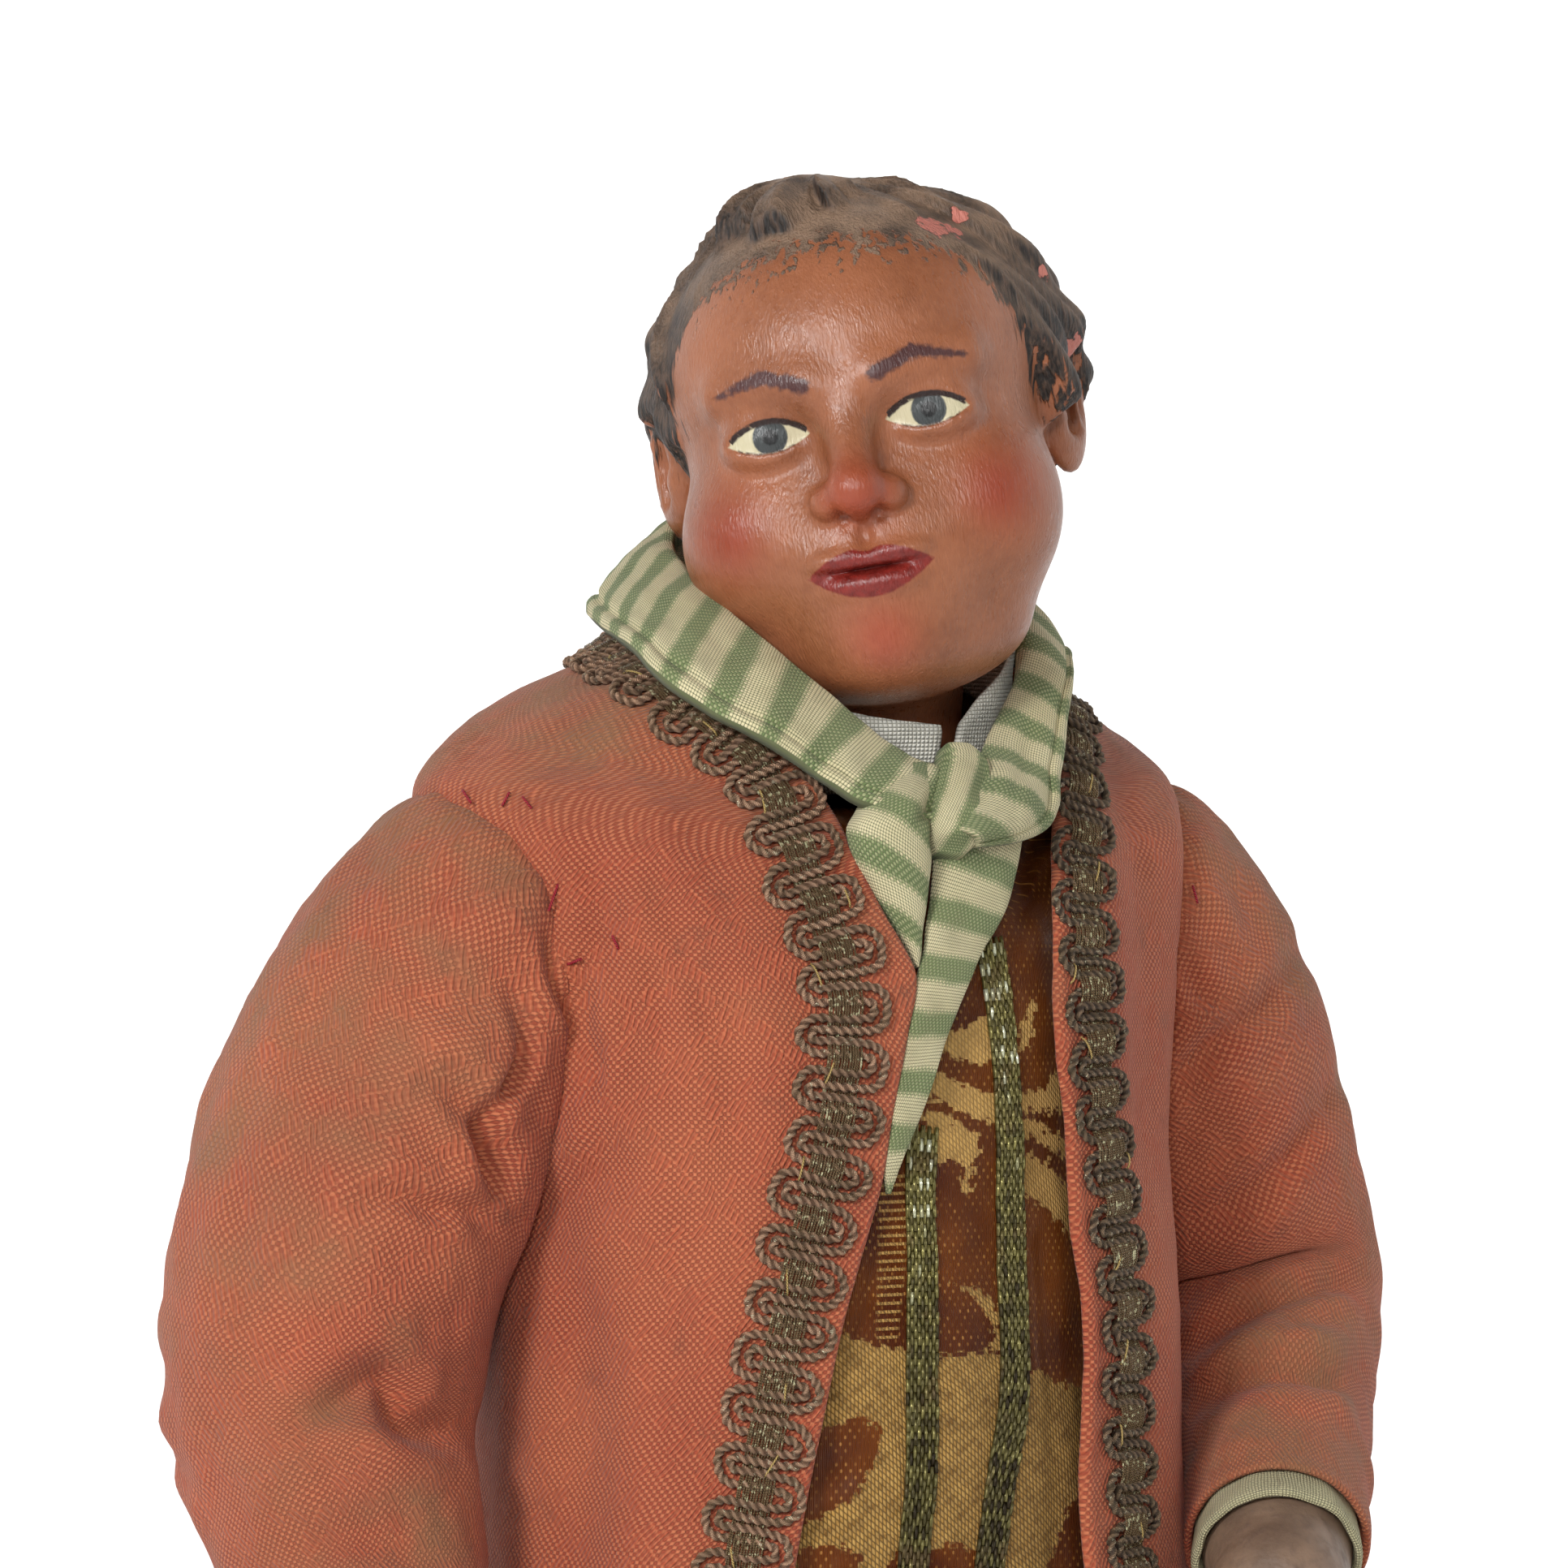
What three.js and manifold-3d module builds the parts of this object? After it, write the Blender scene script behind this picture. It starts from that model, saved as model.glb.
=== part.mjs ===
// A presepe figure: a stout man in a coat, a waistcoat and a striped cravat, on a low base.
// Millimetres, +Z up. He faces -Y, so his right arm is at -X. Heights named z are above the
// soles of his shoes. The part's origin is the centre of the base's underside.

import * as THREE from 'three';
import Module from 'manifold-3d';
import { LoftGeometry } from 'three/addons/geometries/LoftGeometry.js';
import { mergeVertices } from 'three/addons/utils/BufferGeometryUtils.js';

const wasm = await Module();
wasm.setup();

// Sizes that drive the model
const GAP = 0.3;
const COAT_CLOTH = 2.0;
const CRAVAT_CLOTH = 1.1;
const COLLAR_CLOTH = 0.9;
const RIGHT_BRAID_WIDTH = 9.6;
const LEFT_BRAID_WIDTH = 8;
const BRAID_THICKNESS = 1.1;
const BRAID_LIFT = 0.8;
const BRAID_STEPS = 24;
const RIBBON_WIDTH = 3.6;
const RIBBON_THICKNESS = 0.8;
const CUFF_RADIUS = 8.4;
const CUFF_CLOTH = 1.2;
const CUFF_SHOWN = 3.0;
const CUFF_HIDDEN = 2.0;
const WRIST_RADIUS = 6.8;
const BASE_LENGTH = 118;
const BASE_DEPTH = 100;
const BASE_THICKNESS = 14;
const BASE_CHAMFER = 2.5;
const BASE_CORNER = 8;
const HEM_Z = 154;
const WAISTCOAT_BOTTOM_Z = 182;
const COAT_TOP_Z = 308;
const TORSO_POWER = 2.2;

// Facets of the curved forms
const COAT_SEGMENTS = 25;
const LINING_SEGMENTS = 20;
const CUFF_SEGMENTS = 14;
const NECK_SEGMENTS = 14;
const SLEEVE_SEGMENTS = 14;
const LIMB_SEGMENTS = 10;
const FINGER_SEGMENTS = 6;
const HEAD_COLUMNS = 30;
const HEAD_ROWS = 21;
const ROOM_COLUMNS = 20;
const ROOM_ROWS = 14;
const ROOM_GAP = 1.5;

// The coat's outer surface: a height, then the middle and half width across and front to back
const COAT_STATIONS = [
  [HEM_Z, 0, 50, 0, 39],
  [170, -1.4, 46.1, -0.5, 37],
  [188, -2.7, 41.3, -1, 35],
  [205, -4, 37.5, -1.5, 33.5],
  [222, -4.3, 35.9, -1.5, 32.5],
  [240, -4.3, 36.1, -1, 31],
  [255, -4.8, 36.4, -0.5, 30],
  [270, -5, 38.4, 0, 28.5],
  [283, -5.4, 41, 1, 25.5],
  [290, -6.3, 40.4, 1.5, 23],
  [295, -7.1, 34.6, 2, 21],
  [299, -7.2, 27.6, 2, 19.2],
  [302, -4.6, 22.8, 2, 18.3],
  [305, -2.4, 20.8, 2, 18.1],
  [COAT_TOP_Z, -1.4, 19.8, 2, 18],
];
const COAT_RING_HEIGHTS = [
  HEM_Z, 188, 206, 224, 244, 260, 273, 281, 287, 291, 294, 297, 299.5, 302, 304.5, COAT_TOP_Z,
];
const LINING_RING_HEIGHTS = [HEM_Z, 188, 222, 256, 275, 286, 292, 297, 302, COAT_TOP_Z];

// The coat's front edges, as [x, z] seen from the front, from the hem up to under the neck cloth
const RIGHT_EDGE = [
  [-30, HEM_Z], [-28.6, 170], [-26.8, 190], [-25.2, 205], [-23.3, 214.9], [-21.8, 222.4], [-20, 229.9],
  [-17.7, 238.6], [-14.8, 247.3], [-12.1, 257.4], [-10.8, 262.4], [-8.6, 270.7], [-8.7, 272.6],
  [-11.1, 277.8], [-13.1, 283.1], [-14.6, 287.5], [-16.6, 291], [-19.5, 296],
];
const LEFT_EDGE = [
  [14, HEM_Z], [12, 170], [9.5, 190], [8, 213.1], [7.8, 220.8], [8.6, 228.4], [9.2, 236], [8.2, 246.3],
  [8.2, 257.2], [7.3, 263.2], [7.5, 269.1], [8.7, 275.6], [9.8, 282.7], [11, 287], [13, 293],
];
// The middles of the braids, as [x, z] up the front and then as [x, y, z] over the shoulders
const RIGHT_BRAID_FRONT = [
  [-35.5, HEM_Z + 0.4], [-34, 170], [-32, 190], [-30.4, 205], [-29, 214.9], [-27.4, 222.5],
  [-25.2, 231.8], [-23.3, 240], [-20.7, 249.3], [-18.7, 256.2], [-17.6, 262], [-17, 268.4],
  [-17.1, 273.4], [-18.1, 278.1], [-19, 281.6], [-20, 285.8],
];
const RIGHT_BRAID_SHOULDER = [
  [-21.6, -19.8, 291.8], [-24.2, -17.2, 295.2], [-26.8, -13.6, 297.6], [-28, -8.8, 299.6],
  [-27.2, -1.5, 301.6], [-23.6, 8.5, 302.2], [-16.5, 17, 302.4],
];
const LEFT_BRAID_FRONT = [
  [20.5, HEM_Z + 0.4], [18.2, 170], [15.6, 190], [14.1, 205], [13.6, 213], [13.8, 220], [14.4, 228],
  [14.9, 236.3], [14.6, 243], [14, 249], [13.2, 256], [12.8, 263], [12.7, 269], [13, 275],
  [13.8, 281], [14.6, 286.8],
];
const LEFT_BRAID_SHOULDER = [
  [15.8, -18.6, 292.7], [17.6, -13, 296.4], [20.4, -4, 299.2], [20.8, 6.5, 299.6], [17.6, 14.8, 300.2],
];
const RIGHT_RIBBON = [
  [-7.7, 257.7], [-8.5, 252.3], [-8.7, 244], [-9, 235.2], [-9.7, 223.5], [-10.8, 214.3], [-11.4, 200],
  [-11.8, 184],
];
const LEFT_RIBBON = [
  [1.6, 277], [2, 272], [2.2, 263.3], [2.1, 253.6], [1.6, 244], [1.3, 235], [0.3, 227.4],
  [-0.9, 223], [-2.6, 213.7], [-4, 200], [-4.8, 184],
];

// The neck cloth's lower and upper edges, round the neck from the figure's right of the knot
const BAND_BOTTOM = [
  [-5.5, -25.4, 285.6], [-13.2, -25.2, 287.7], [-18.1, -23.3, 291.2], [-22.8, -20.6, 294.4],
  [-26.4, -17.8, 296.6], [-28.9, -13.9, 298.8], [-29, -8, 300.9], [-27.6, 0, 303],
  [-24.4, 7.5, 304], [-19, 13.6, 305], [-11.5, 18.6, 306.4], [-1.5, 21, 307.6], [9, 17.8, 306.2],
  [16.5, 10.5, 304], [19.4, 3.5, 302], [18.4, -4, 299.8], [16, -10.6, 297], [13.6, -16, 294.6],
  [12, -20, 292.4], [10.2, -23, 289.8], [9, -24.8, 287.4], [7, -26.2, 285.4], [3.4, -27, 284.3],
  [-2, -27.2, 283.7],
];
const BAND_TOP = [
  [-2.2, -24, 290.4], [-6.4, -21.4, 292.2], [-10.4, -19.4, 295.8], [-16.4, -14.9, 301.9],
  [-18.3, -11.6, 304.6], [-19.6, -7, 307.6], [-19, -0.4, 310.3], [-17.4, 6.5, 313.3],
  [-14, 11, 315.8], [-9, 13.8, 317.8], [-4.5, 15.6, 319.2], [0.5, 16, 319.8], [8.5, 13.4, 317.8],
  [14.4, 8.6, 314.4], [17.1, 2.6, 310.4], [17, -3.6, 306.4], [14.2, -9.2, 302.8],
  [11, -12.8, 299.2], [8, -15.4, 296.4], [4.4, -18.6, 293.6], [1.2, -22.2, 291.4],
  [-1.6, -24.8, 290], [-3.6, -26.4, 288], [-5, -27, 285.6],
];
const BAND_LIFT = 2.75;
const BAND_STEPS = 24;
const BAND_BULGE = 0.8;
const BAND_KNOT_BULGE = 2.5;
const NECK_HOLE_INSET = 4.5;
const NECK_HOLE_DEPTH = 6;
const NECK_HOLE_MOUTH = 30;
const NECK_HOLE_LEAN = new THREE.Vector3(0, -0.527, 0.85);

// The knot's cloths: rows of [x, y, z] at the right side, [x, y, z] at the left side and the bulge
const SHORT_TAIL = [
  [-8.6, -22.3, 291.3, -3.5, -22.4, 291.3, 1.8], [-11.4, -23.6, 289.4, -4.3, -23.8, 289.3, 2.8],
  [-13.3, -24.4, 287.4, -5.6, -25.2, 286.7, 3.2], [-14, -24.8, 283.9, -6, -26.3, 282.3, 2.7],
  [-13, -25.2, 281.5, -6.2, -26.3, 280.2, 2.1], [-11.7, -25.6, 279.2, -6.6, -26.5, 277.8, 1.5],
  [-10.3, -26, 276.8, -7.2, -26.8, 275.5, 1], [-8.9, -26.9, 274.2, -7.6, -27.2, 273.4, 0.6],
  [-8.2, -27.4, 272.4, -7.9, -27.4, 272.2, 0.2],
];
const LONG_TAIL = [
  [-4.6, -24, 287.5, 5, -23.3, 288, 1.4], [-4.8, -25, 284.9, 5.6, -24.3, 285.4, 1.7],
  [-4.9, -25.2, 282.8, 5.4, -24.4, 283.6, 1.4], [-5.6, -25.8, 278.6, 4.3, -24.9, 280, 1.1],
  [-7.1, -27.2, 274, 1.5, -26.5, 275.8, 0.9], [-9.3, -28.6, 268.5, -2.5, -28.2, 270.8, 0.8],
  [-11.1, -29.3, 262, -6, -29.3, 264.8, 0.6], [-12.4, -29.7, 256.8, -8.9, -29.9, 258.1, 0.4],
  [-13, -30, 253.9, -10.4, -30.1, 255.4, 0.3], [-12.9, -30.2, 250.5, -12.6, -30.2, 250.5, 0.1],
];
const KNOT_WRAP = [
  [-2.5, -23.2, 293.9, -1, -23.3, 293.6, 0.5], [-4, -24.8, 291.9, -0.1, -24.6, 292, 1.2],
  [-5.4, -26.6, 289.6, -1.6, -26.5, 289.5, 1.7], [-6.2, -27.6, 287.5, -2.7, -28.2, 287, 1.7],
  [-6.5, -27.8, 285.3, -3.4, -28.7, 284.8, 1.5], [-5.7, -27, 283.4, -4, -27.5, 282.9, 0.8],
];
const TAIL_DEPTH = 0.85;
const KNOT_WRAP_DEPTH = 2.4;

// Linen shirt collar: an angle round the neck in degrees, its top height and its top radius
const COLLAR_STATIONS = [
  [293, 296.4, 18.2], [312, 298, 18], [336, 300.5, 17.4], [360, 303, 16.9], [405, 306, 15.8],
  [450, 307.6, 14.9], [495, 306.5, 15.6], [540, 303, 16.6], [580, 299.4, 16.6], [610, 296.6, 17.4],
  [638, 295.4, 18.2],
];
const SOCKET_HALF_X = 17.4;
const SOCKET_HALF_Y = 16.4;
const SOCKET_FORWARD = 1;
const COLLAR_HEIGHT = 9.5;
const COLLAR_FLARE = 2;
const NECK_AXIS = [-1, 3];
const NECK_RADIUS = 12.4;
const NECK_FOOT_Z = 288.5;
const NECK_BEND_RISE = 11.5;
const NECK_TOP_DROP = 11;
const NECK_TOP_BACK = 3;

// Head: where its middle is, how it turns to his right and how it leans
const HEAD_AT = new THREE.Vector3(-1.4, -4, 325);
const HEAD_TURN = THREE.MathUtils.degToRad(-33);
const HEAD_LEAN = THREE.MathUtils.degToRad(-10);

// Forms of the head in its own frame, +Z up and -Y to the front: each one's middle, its half
// sizes and how softly it joins what is there
const SKULL = { at: [0.5, 2, 5], half: [19, 21.6, 18.8] };
const FACE_FORMS = [
  { at: [0, -5.6, 7], half: [17, 14.6, 13.6], blend: 6 },
  { at: [0, -5.4, -11.4], half: [17.4, 15.6, 13.6], blend: 7 },
  { at: [-10.6, -11.2, -9.6], half: [7.6, 7.6, 7.2], blend: 6 },
  { at: [10.6, -11.2, -9.6], half: [7.6, 7.6, 7.2], blend: 6 },
  { at: [0, -17, -21.3], half: [5.6, 4.6, 4.2], blend: 5 },
  { at: [0, -8.6, -21.5], half: [13, 10, 6], blend: 5 },
];
const EYE_SOCKET = { at: [7.9, -22.6, 0.2], half: [5.3, 3.3, 3.4], blend: 3 };
const EYE_BALL = { at: [7.9, -16.6, -0.1], half: [4.6, 3.4, 3.3], blend: 1 };
const BROW = {
  inner: [3.4, -19.9, 4.3], outer: [12, -16.4, 4.9], innerRadius: 2, outerRadius: 1.6, blend: 3,
};
const NOSE_BRIDGE = {
  top: [0, -19.6, 2.4], bottom: [0, -23.6, -5.6], topRadius: 1.9, bottomRadius: 2.4, blend: 3,
};
const NOSE_FORMS = [
  { at: [0, -23.9, -6.6], half: [2.9, 2.8, 2.5], blend: 1.5 },
  { at: [-3.2, -21.9, -7.3], half: [1.9, 2.3, 1.9], blend: 1 },
  { at: [3.2, -21.9, -7.3], half: [1.9, 2.3, 1.9], blend: 1 },
];
const MOUTH_FORMS = [
  { at: [0, -16.4, -13.6], half: [8.4, 6, 6.4], blend: 5 },
  { at: [-2.2, -21.9, -13], half: [3.9, 1.8, 1.3], blend: 0.9 },
  { at: [2.2, -21.9, -13], half: [3.9, 1.8, 1.3], blend: 0.9 },
  { at: [0, -21.7, -15.7], half: [4.8, 1.9, 1.6], blend: 0.9 },
];
const HAIR = { at: [0.8, 3.2, 4.2], half: [22.6, 22.9, 21], blend: 1.5 };
const TUFT = { at: [-3, -4, 20.8], half: [7, 9, 5.5], blend: 3 };
const HAIR_JOIN = 0.6;
// The hair's lower edge, as [y, z] from the forehead back to the nape
const HAIR_LINE = [
  [-24, 15.6], [-19, 15.2], [-15, 12.5], [-11, 7], [-7.5, 2], [-4.5, -2], [-1.5, 3], [4, 3.5],
  [8, -6], [12, -11], [18, -14], [28, -15],
];
const EAR = { at: [19.6, 2.6, -1.4], half: [2.2, 4.3, 6.6], lean: 0.14, flare: 0.35 };

// Arms as [x, y, z, radius] down their middles
const RIGHT_ARM = [
  [-33, 1, 282, 11], [-40, 1.2, 276.5, 15], [-48, 2, 264, 17.3], [-56, 2, 246, 16.7],
  [-58.4, 2.5, 229, 15.5], [-56.6, -3, 212, 12.5], [-56, -11, 197, 9.8],
];
const LEFT_ARM = [
  [26, 1, 282, 11], [32, 1.4, 276, 14], [39, 2, 264, 15], [45.2, 3, 249, 14.4],
  [49.4, 2.5, 235, 13.4], [42.6, -11, 223, 10.6], [32.4, -28.8, 213.4, 9.4],
];
const ARM_RINGS = 10;

// Hands: the wrist's way on from the sleeve, and which way the palm faces
const RIGHT_HAND = { along: [0.02, -0.45, -0.89], palm: [0.86, -0.3, 0.3], thumbSide: -1 };
const LEFT_HAND = { along: [-0.42, -0.8, -0.43], palm: [-0.3, 0.1, -0.95], thumbSide: 1 };
const PALM_LENGTH = 14;
const PALM_HALF = [3.1, 6.6, 8.4];
// Each finger: place across the palm, start along it, length, radius and how far it bends
const FINGERS = [
  [-4.8, 13.5, 12.5, 1.75, 0.30],
  [-1.7, 14.5, 14.5, 1.85, 0.36],
  [1.5, 14.2, 13.6, 1.8, 0.44],
  [4.5, 13, 10.8, 1.6, 0.52],
];
const THUMB = [-6, 6.5, 11.5, 2.0];

// Breeches and legs
const BREECHES_TOP_Z = WAISTCOAT_BOTTOM_Z - GAP;
const BREECHES_SEGMENTS = 18;
const BREECHES_STATIONS = [
  [150, 0, 33, 0, 23],
  [160, 0, 36, 0, 26],
  [172, 0, 36.5, 0, 28],
  [BREECHES_TOP_Z, 0, 36, 0, 28.5],
];
const RIGHT_THIGH = [
  [-16, 0, 172, 18], [-16.5, -1, 150, 19], [-17, -2, 120, 16.2], [-17.5, -3, 94, 13.2],
  [-17.6, -3, 83, 12.6],
];
const LEFT_THIGH = [
  [15, 0, 172, 18], [16, -1, 150, 19], [17, -1, 120, 16.2], [17.5, 0, 94, 13.2], [17.6, 0.5, 83, 12.6],
];
const KNEE_Z = 84;
const CALF = [[KNEE_Z - GAP, 11.4], [74, 11.3], [62, 12.2], [48, 10.5], [34, 8.2], [20, 6.9], [8, 7.4]];
const CALF_SWELL_BACK = 1.5;
const RIGHT_FOOT = { at: [-18.5, -4], turn: THREE.MathUtils.degToRad(-17) };
const LEFT_FOOT = { at: [18.5, 1], turn: THREE.MathUtils.degToRad(18) };
// Shoe sections from heel to toe: place along, half width, height and how far the sole is lifted
const SHOE_SECTIONS = [
  [12, 3.6, 8, 0], [10.5, 6, 13, 0], [5, 6.6, 15.5, 0], [-3, 6.4, 14.5, 0], [-10, 7.4, 11.5, 0],
  [-18, 8, 9.5, 0], [-25, 7, 8, 0.2], [-30, 4, 5.8, 0.8],
];

// Small vector and solid helpers

function vec(list) {
  return new THREE.Vector3(list[0], list[1], list[2]);
}

function signedVolume(positions, index) {
  let six = 0;
  const a = new THREE.Vector3();
  const b = new THREE.Vector3();
  const c = new THREE.Vector3();
  for (let i = 0; i < index.length; i += 3) {
    a.fromArray(positions, index[i] * 3);
    b.fromArray(positions, index[i + 1] * 3);
    c.fromArray(positions, index[i + 2] * 3);
    six += a.dot(b.cross(c));
  }
  return six / 6;
}

// A closed solid from a geometry, turned the right way out
function solidFrom(geometry) {
  const bare = new THREE.BufferGeometry();
  bare.setAttribute('position', geometry.getAttribute('position'));
  bare.setIndex(geometry.getIndex());
  const merged = mergeVertices(bare, 1e-4);
  const positions = merged.getAttribute('position').array;
  const index = merged.getIndex().array;
  const kept = [];
  for (let i = 0; i < index.length; i += 3) {
    const [a, b, c] = [index[i], index[i + 1], index[i + 2]];
    if (a !== b && b !== c && c !== a) {
      kept.push(a, b, c);
    }
  }
  if (signedVolume(positions, kept) < 0) {
    kept.reverse();
  }
  const mesh = new wasm.Mesh({
    numProp: 3,
    vertProperties: new Float32Array(positions),
    triVerts: new Uint32Array(kept),
  });
  return new wasm.Manifold(mesh);
}

function middleOf(points) {
  const middle = new THREE.Vector3();
  points.forEach((point) => middle.addScaledVector(point, 1 / points.length));
  return middle;
}

// A closed loft through sections of points, wound so that it faces outward
function loft(sections) {
  const middle = middleOf(sections[0]);
  const turning = new THREE.Vector3();
  sections[0].forEach((point, i) => {
    const next = sections[0][(i + 1) % sections[0].length];
    turning.add(point.clone().sub(middle).cross(next.clone().sub(middle)));
  });
  const onward = middleOf(sections[1]).sub(middle);
  const wound = turning.dot(onward) < 0 ? sections.map((section) => [...section].reverse()) : sections;
  return solidFrom(new LoftGeometry(wound, { capStart: true, capEnd: true }));
}

function unite(solids) {
  return solids.reduce((whole, piece) => whole.add(piece));
}

// The solid's largest body, without the slivers that a cut can leave
function largestBody(solid) {
  return solid.decompose().reduce((best, body) => (body.volume() > best.volume() ? body : best));
}

function makeMesh(solid, name, colour) {
  const mesh = solid.getMesh();
  const geometry = new THREE.BufferGeometry();
  geometry.setAttribute('position', new THREE.BufferAttribute(new Float32Array(mesh.vertProperties), 3));
  geometry.setIndex(new THREE.BufferAttribute(new Uint32Array(mesh.triVerts), 1));
  geometry.computeVertexNormals();
  const material = new THREE.MeshStandardMaterial({ color: colour, roughness: 0.8 });
  material.name = name;
  const part = new THREE.Mesh(geometry, material);
  part.name = name;
  return part;
}

// A smooth value through a table of [key, value...] rows, at one key and column
function tableValue(rows, key, column) {
  const last = rows.length - 1;
  const clamped = Math.min(Math.max(key, rows[0][0]), rows[last][0]);
  let i = 0;
  while (i < last - 1 && clamped > rows[i + 1][0]) {
    i += 1;
  }
  const slopeAt = (j) => {
    const low = Math.max(j - 1, 0);
    const high = Math.min(j + 1, last);
    return (rows[high][column] - rows[low][column]) / (rows[high][0] - rows[low][0]);
  };
  const width = rows[i + 1][0] - rows[i][0];
  const t = (clamped - rows[i][0]) / width;
  const t2 = t * t;
  const t3 = t2 * t;
  return (2 * t3 - 3 * t2 + 1) * rows[i][column]
    + (t3 - 2 * t2 + t) * width * slopeAt(i)
    + (3 * t2 - 2 * t3) * rows[i + 1][column]
    + (t3 - t2) * width * slopeAt(i + 1);
}

function curveThrough(points) {
  return new THREE.CatmullRomCurve3(points.map(vec), false, 'centripetal');
}

// A tube of changing radius through [x, y, z, radius] rows, with rounded or flat ends
function taperedTube(rows, segments, rings) {
  const path = curveThrough(rows);
  const radiusRows = rows.map((row, i) => [i / (rows.length - 1), row[3]]);
  const frames = path.computeFrenetFrames(rings, false);
  const sections = [];
  for (let i = 0; i <= rings; i += 1) {
    const t = i / rings;
    const centre = path.getPoint(path.getUtoTmapping(t));
    const radius = tableValue(radiusRows, path.getUtoTmapping(t), 1);
    const section = [];
    for (let j = 0; j < segments; j += 1) {
      const angle = (j / segments) * Math.PI * 2;
      const point = centre.clone();
      point.addScaledVector(frames.normals[i], Math.cos(angle) * radius);
      point.addScaledVector(frames.binormals[i], Math.sin(angle) * radius);
      section.push(point);
    }
    sections.push(section);
  }
  return loft(sections);
}

// A prism from an outline of [x, z] points, running along Y between two depths
function frontPrism(outline, yFront, yBack) {
  const shape = new THREE.Shape(outline.map(([x, z]) => new THREE.Vector2(x, z)));
  const geometry = new THREE.ExtrudeGeometry(shape, { depth: yBack - yFront, bevelEnabled: false });
  geometry.rotateX(Math.PI / 2);
  geometry.translate(0, yBack, 0);
  return solidFrom(geometry);
}

// Torso

function torsoAt(z) {
  return {
    centreX: tableValue(COAT_STATIONS, z, 1),
    halfX: tableValue(COAT_STATIONS, z, 2),
    centreY: tableValue(COAT_STATIONS, z, 3),
    halfY: tableValue(COAT_STATIONS, z, 4),
  };
}

// About how far a point is outside the coat's outer surface
function torsoField(point) {
  const s = torsoAt(point.z);
  const across = Math.abs((point.x - s.centreX) / s.halfX) ** TORSO_POWER;
  const through = Math.abs((point.y - s.centreY) / s.halfY) ** TORSO_POWER;
  return ((across + through) ** (1 / TORSO_POWER) - 1) * s.halfY;
}

function torsoGradient(point) {
  const step = 0.05;
  const gradient = new THREE.Vector3();
  for (const axis of ['x', 'y', 'z']) {
    const high = point.clone();
    const low = point.clone();
    high[axis] += step;
    low[axis] -= step;
    gradient[axis] = (torsoField(high) - torsoField(low)) / (2 * step);
  }
  return gradient;
}

// The nearest point of the coat's outer surface, moved outward by lift
function onCoat(point, lift) {
  const found = point.clone();
  for (let i = 0; i < 6; i += 1) {
    const gradient = torsoGradient(found);
    found.addScaledVector(gradient, -torsoField(found) / gradient.lengthSq());
  }
  const normal = torsoGradient(found).normalize();
  return { point: found.clone().addScaledVector(normal, lift), normal };
}

function torsoRing(z, offset, segments) {
  const s = torsoAt(z);
  const ring = [];
  for (let i = 0; i < segments; i += 1) {
    const angle = (i / segments) * Math.PI * 2;
    const cos = Math.cos(angle);
    const sin = Math.sin(angle);
    const point = new THREE.Vector3(
      s.centreX + s.halfX * Math.sign(cos) * Math.abs(cos) ** (2 / TORSO_POWER),
      s.centreY + s.halfY * Math.sign(sin) * Math.abs(sin) ** (2 / TORSO_POWER),
      z,
    );
    const normal = torsoGradient(point).normalize();
    point.addScaledVector(normal, offset);
    ring.push(point);
  }
  return ring;
}

// The torso's volume inside a surface that is offset from the coat's outer surface
function torsoSolid(offset, bottomZ, segments, heights) {
  const rings = heights.filter((z) => z > bottomZ + 2).map((z) => torsoRing(z, offset, segments));
  const foot = torsoRing(Math.max(bottomZ, HEM_Z), offset, segments);
  foot.forEach((point) => {
    point.z = bottomZ;
  });
  return loft([foot, ...rings]);
}

// Neck hole

function bandEdges() {
  const lower = curveThrough(BAND_BOTTOM);
  const upper = curveThrough(BAND_TOP);
  const edges = [];
  for (let i = 0; i < BAND_STEPS; i += 1) {
    const t = i / (BAND_STEPS - 1);
    const foot = onCoat(lower.getPoint(t), BAND_LIFT).point;
    edges.push({ foot, top: upper.getPoint(t) });
  }
  return edges;
}

// Everything that the neck and the collar need kept clear of the coat and waistcoat
function neckHole() {
  const rim = bandEdges().map(({ foot, top }) => {
    const inward = top.clone().sub(foot).normalize();
    return foot.clone().addScaledVector(inward, NECK_HOLE_INSET);
  });
  const floor = rim.map((point) => point.clone().addScaledVector(NECK_HOLE_LEAN, -NECK_HOLE_DEPTH));
  const mouth = rim.map((point) => point.clone().addScaledVector(NECK_HOLE_LEAN, NECK_HOLE_MOUTH));
  const socketFoot = NECK_FOOT_Z - 4 * GAP;
  const socketHeight = COAT_TOP_Z + 4 - socketFoot;
  const socket = new THREE.CylinderGeometry(1, 1, socketHeight, 24);
  socket.rotateX(Math.PI / 2);
  socket.scale(SOCKET_HALF_X, SOCKET_HALF_Y, 1);
  socket.translate(NECK_AXIS[0], NECK_AXIS[1] - SOCKET_FORWARD, socketFoot + socketHeight / 2);
  return loft([floor, rim, mouth]).add(solidFrom(socket));
}

// Coat, waistcoat and what is sewn on them

function openingOutline(inset) {
  const right = RIGHT_EDGE.map(([x, z]) => [x + inset, z]);
  const left = LEFT_EDGE.map(([x, z]) => [x - inset, z]).reverse();
  const top = COAT_TOP_Z + 4;
  const bottom = HEM_Z - 10;
  return [
    [right[0][0], bottom], ...right, [right[right.length - 1][0], top],
    [left[0][0], top], ...left, [left[left.length - 1][0], bottom],
  ];
}

// The coat's cloth, grown on every side by a gap
function coatCloth(outer, gap, hole) {
  const inner = torsoSolid(-COAT_CLOTH - gap, HEM_Z - 6, LINING_SEGMENTS, LINING_RING_HEIGHTS);
  const opening = frontPrism(openingOutline(gap), -70, -8);
  return largestBody(outer.subtract(inner).subtract(opening).subtract(hole));
}

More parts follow.
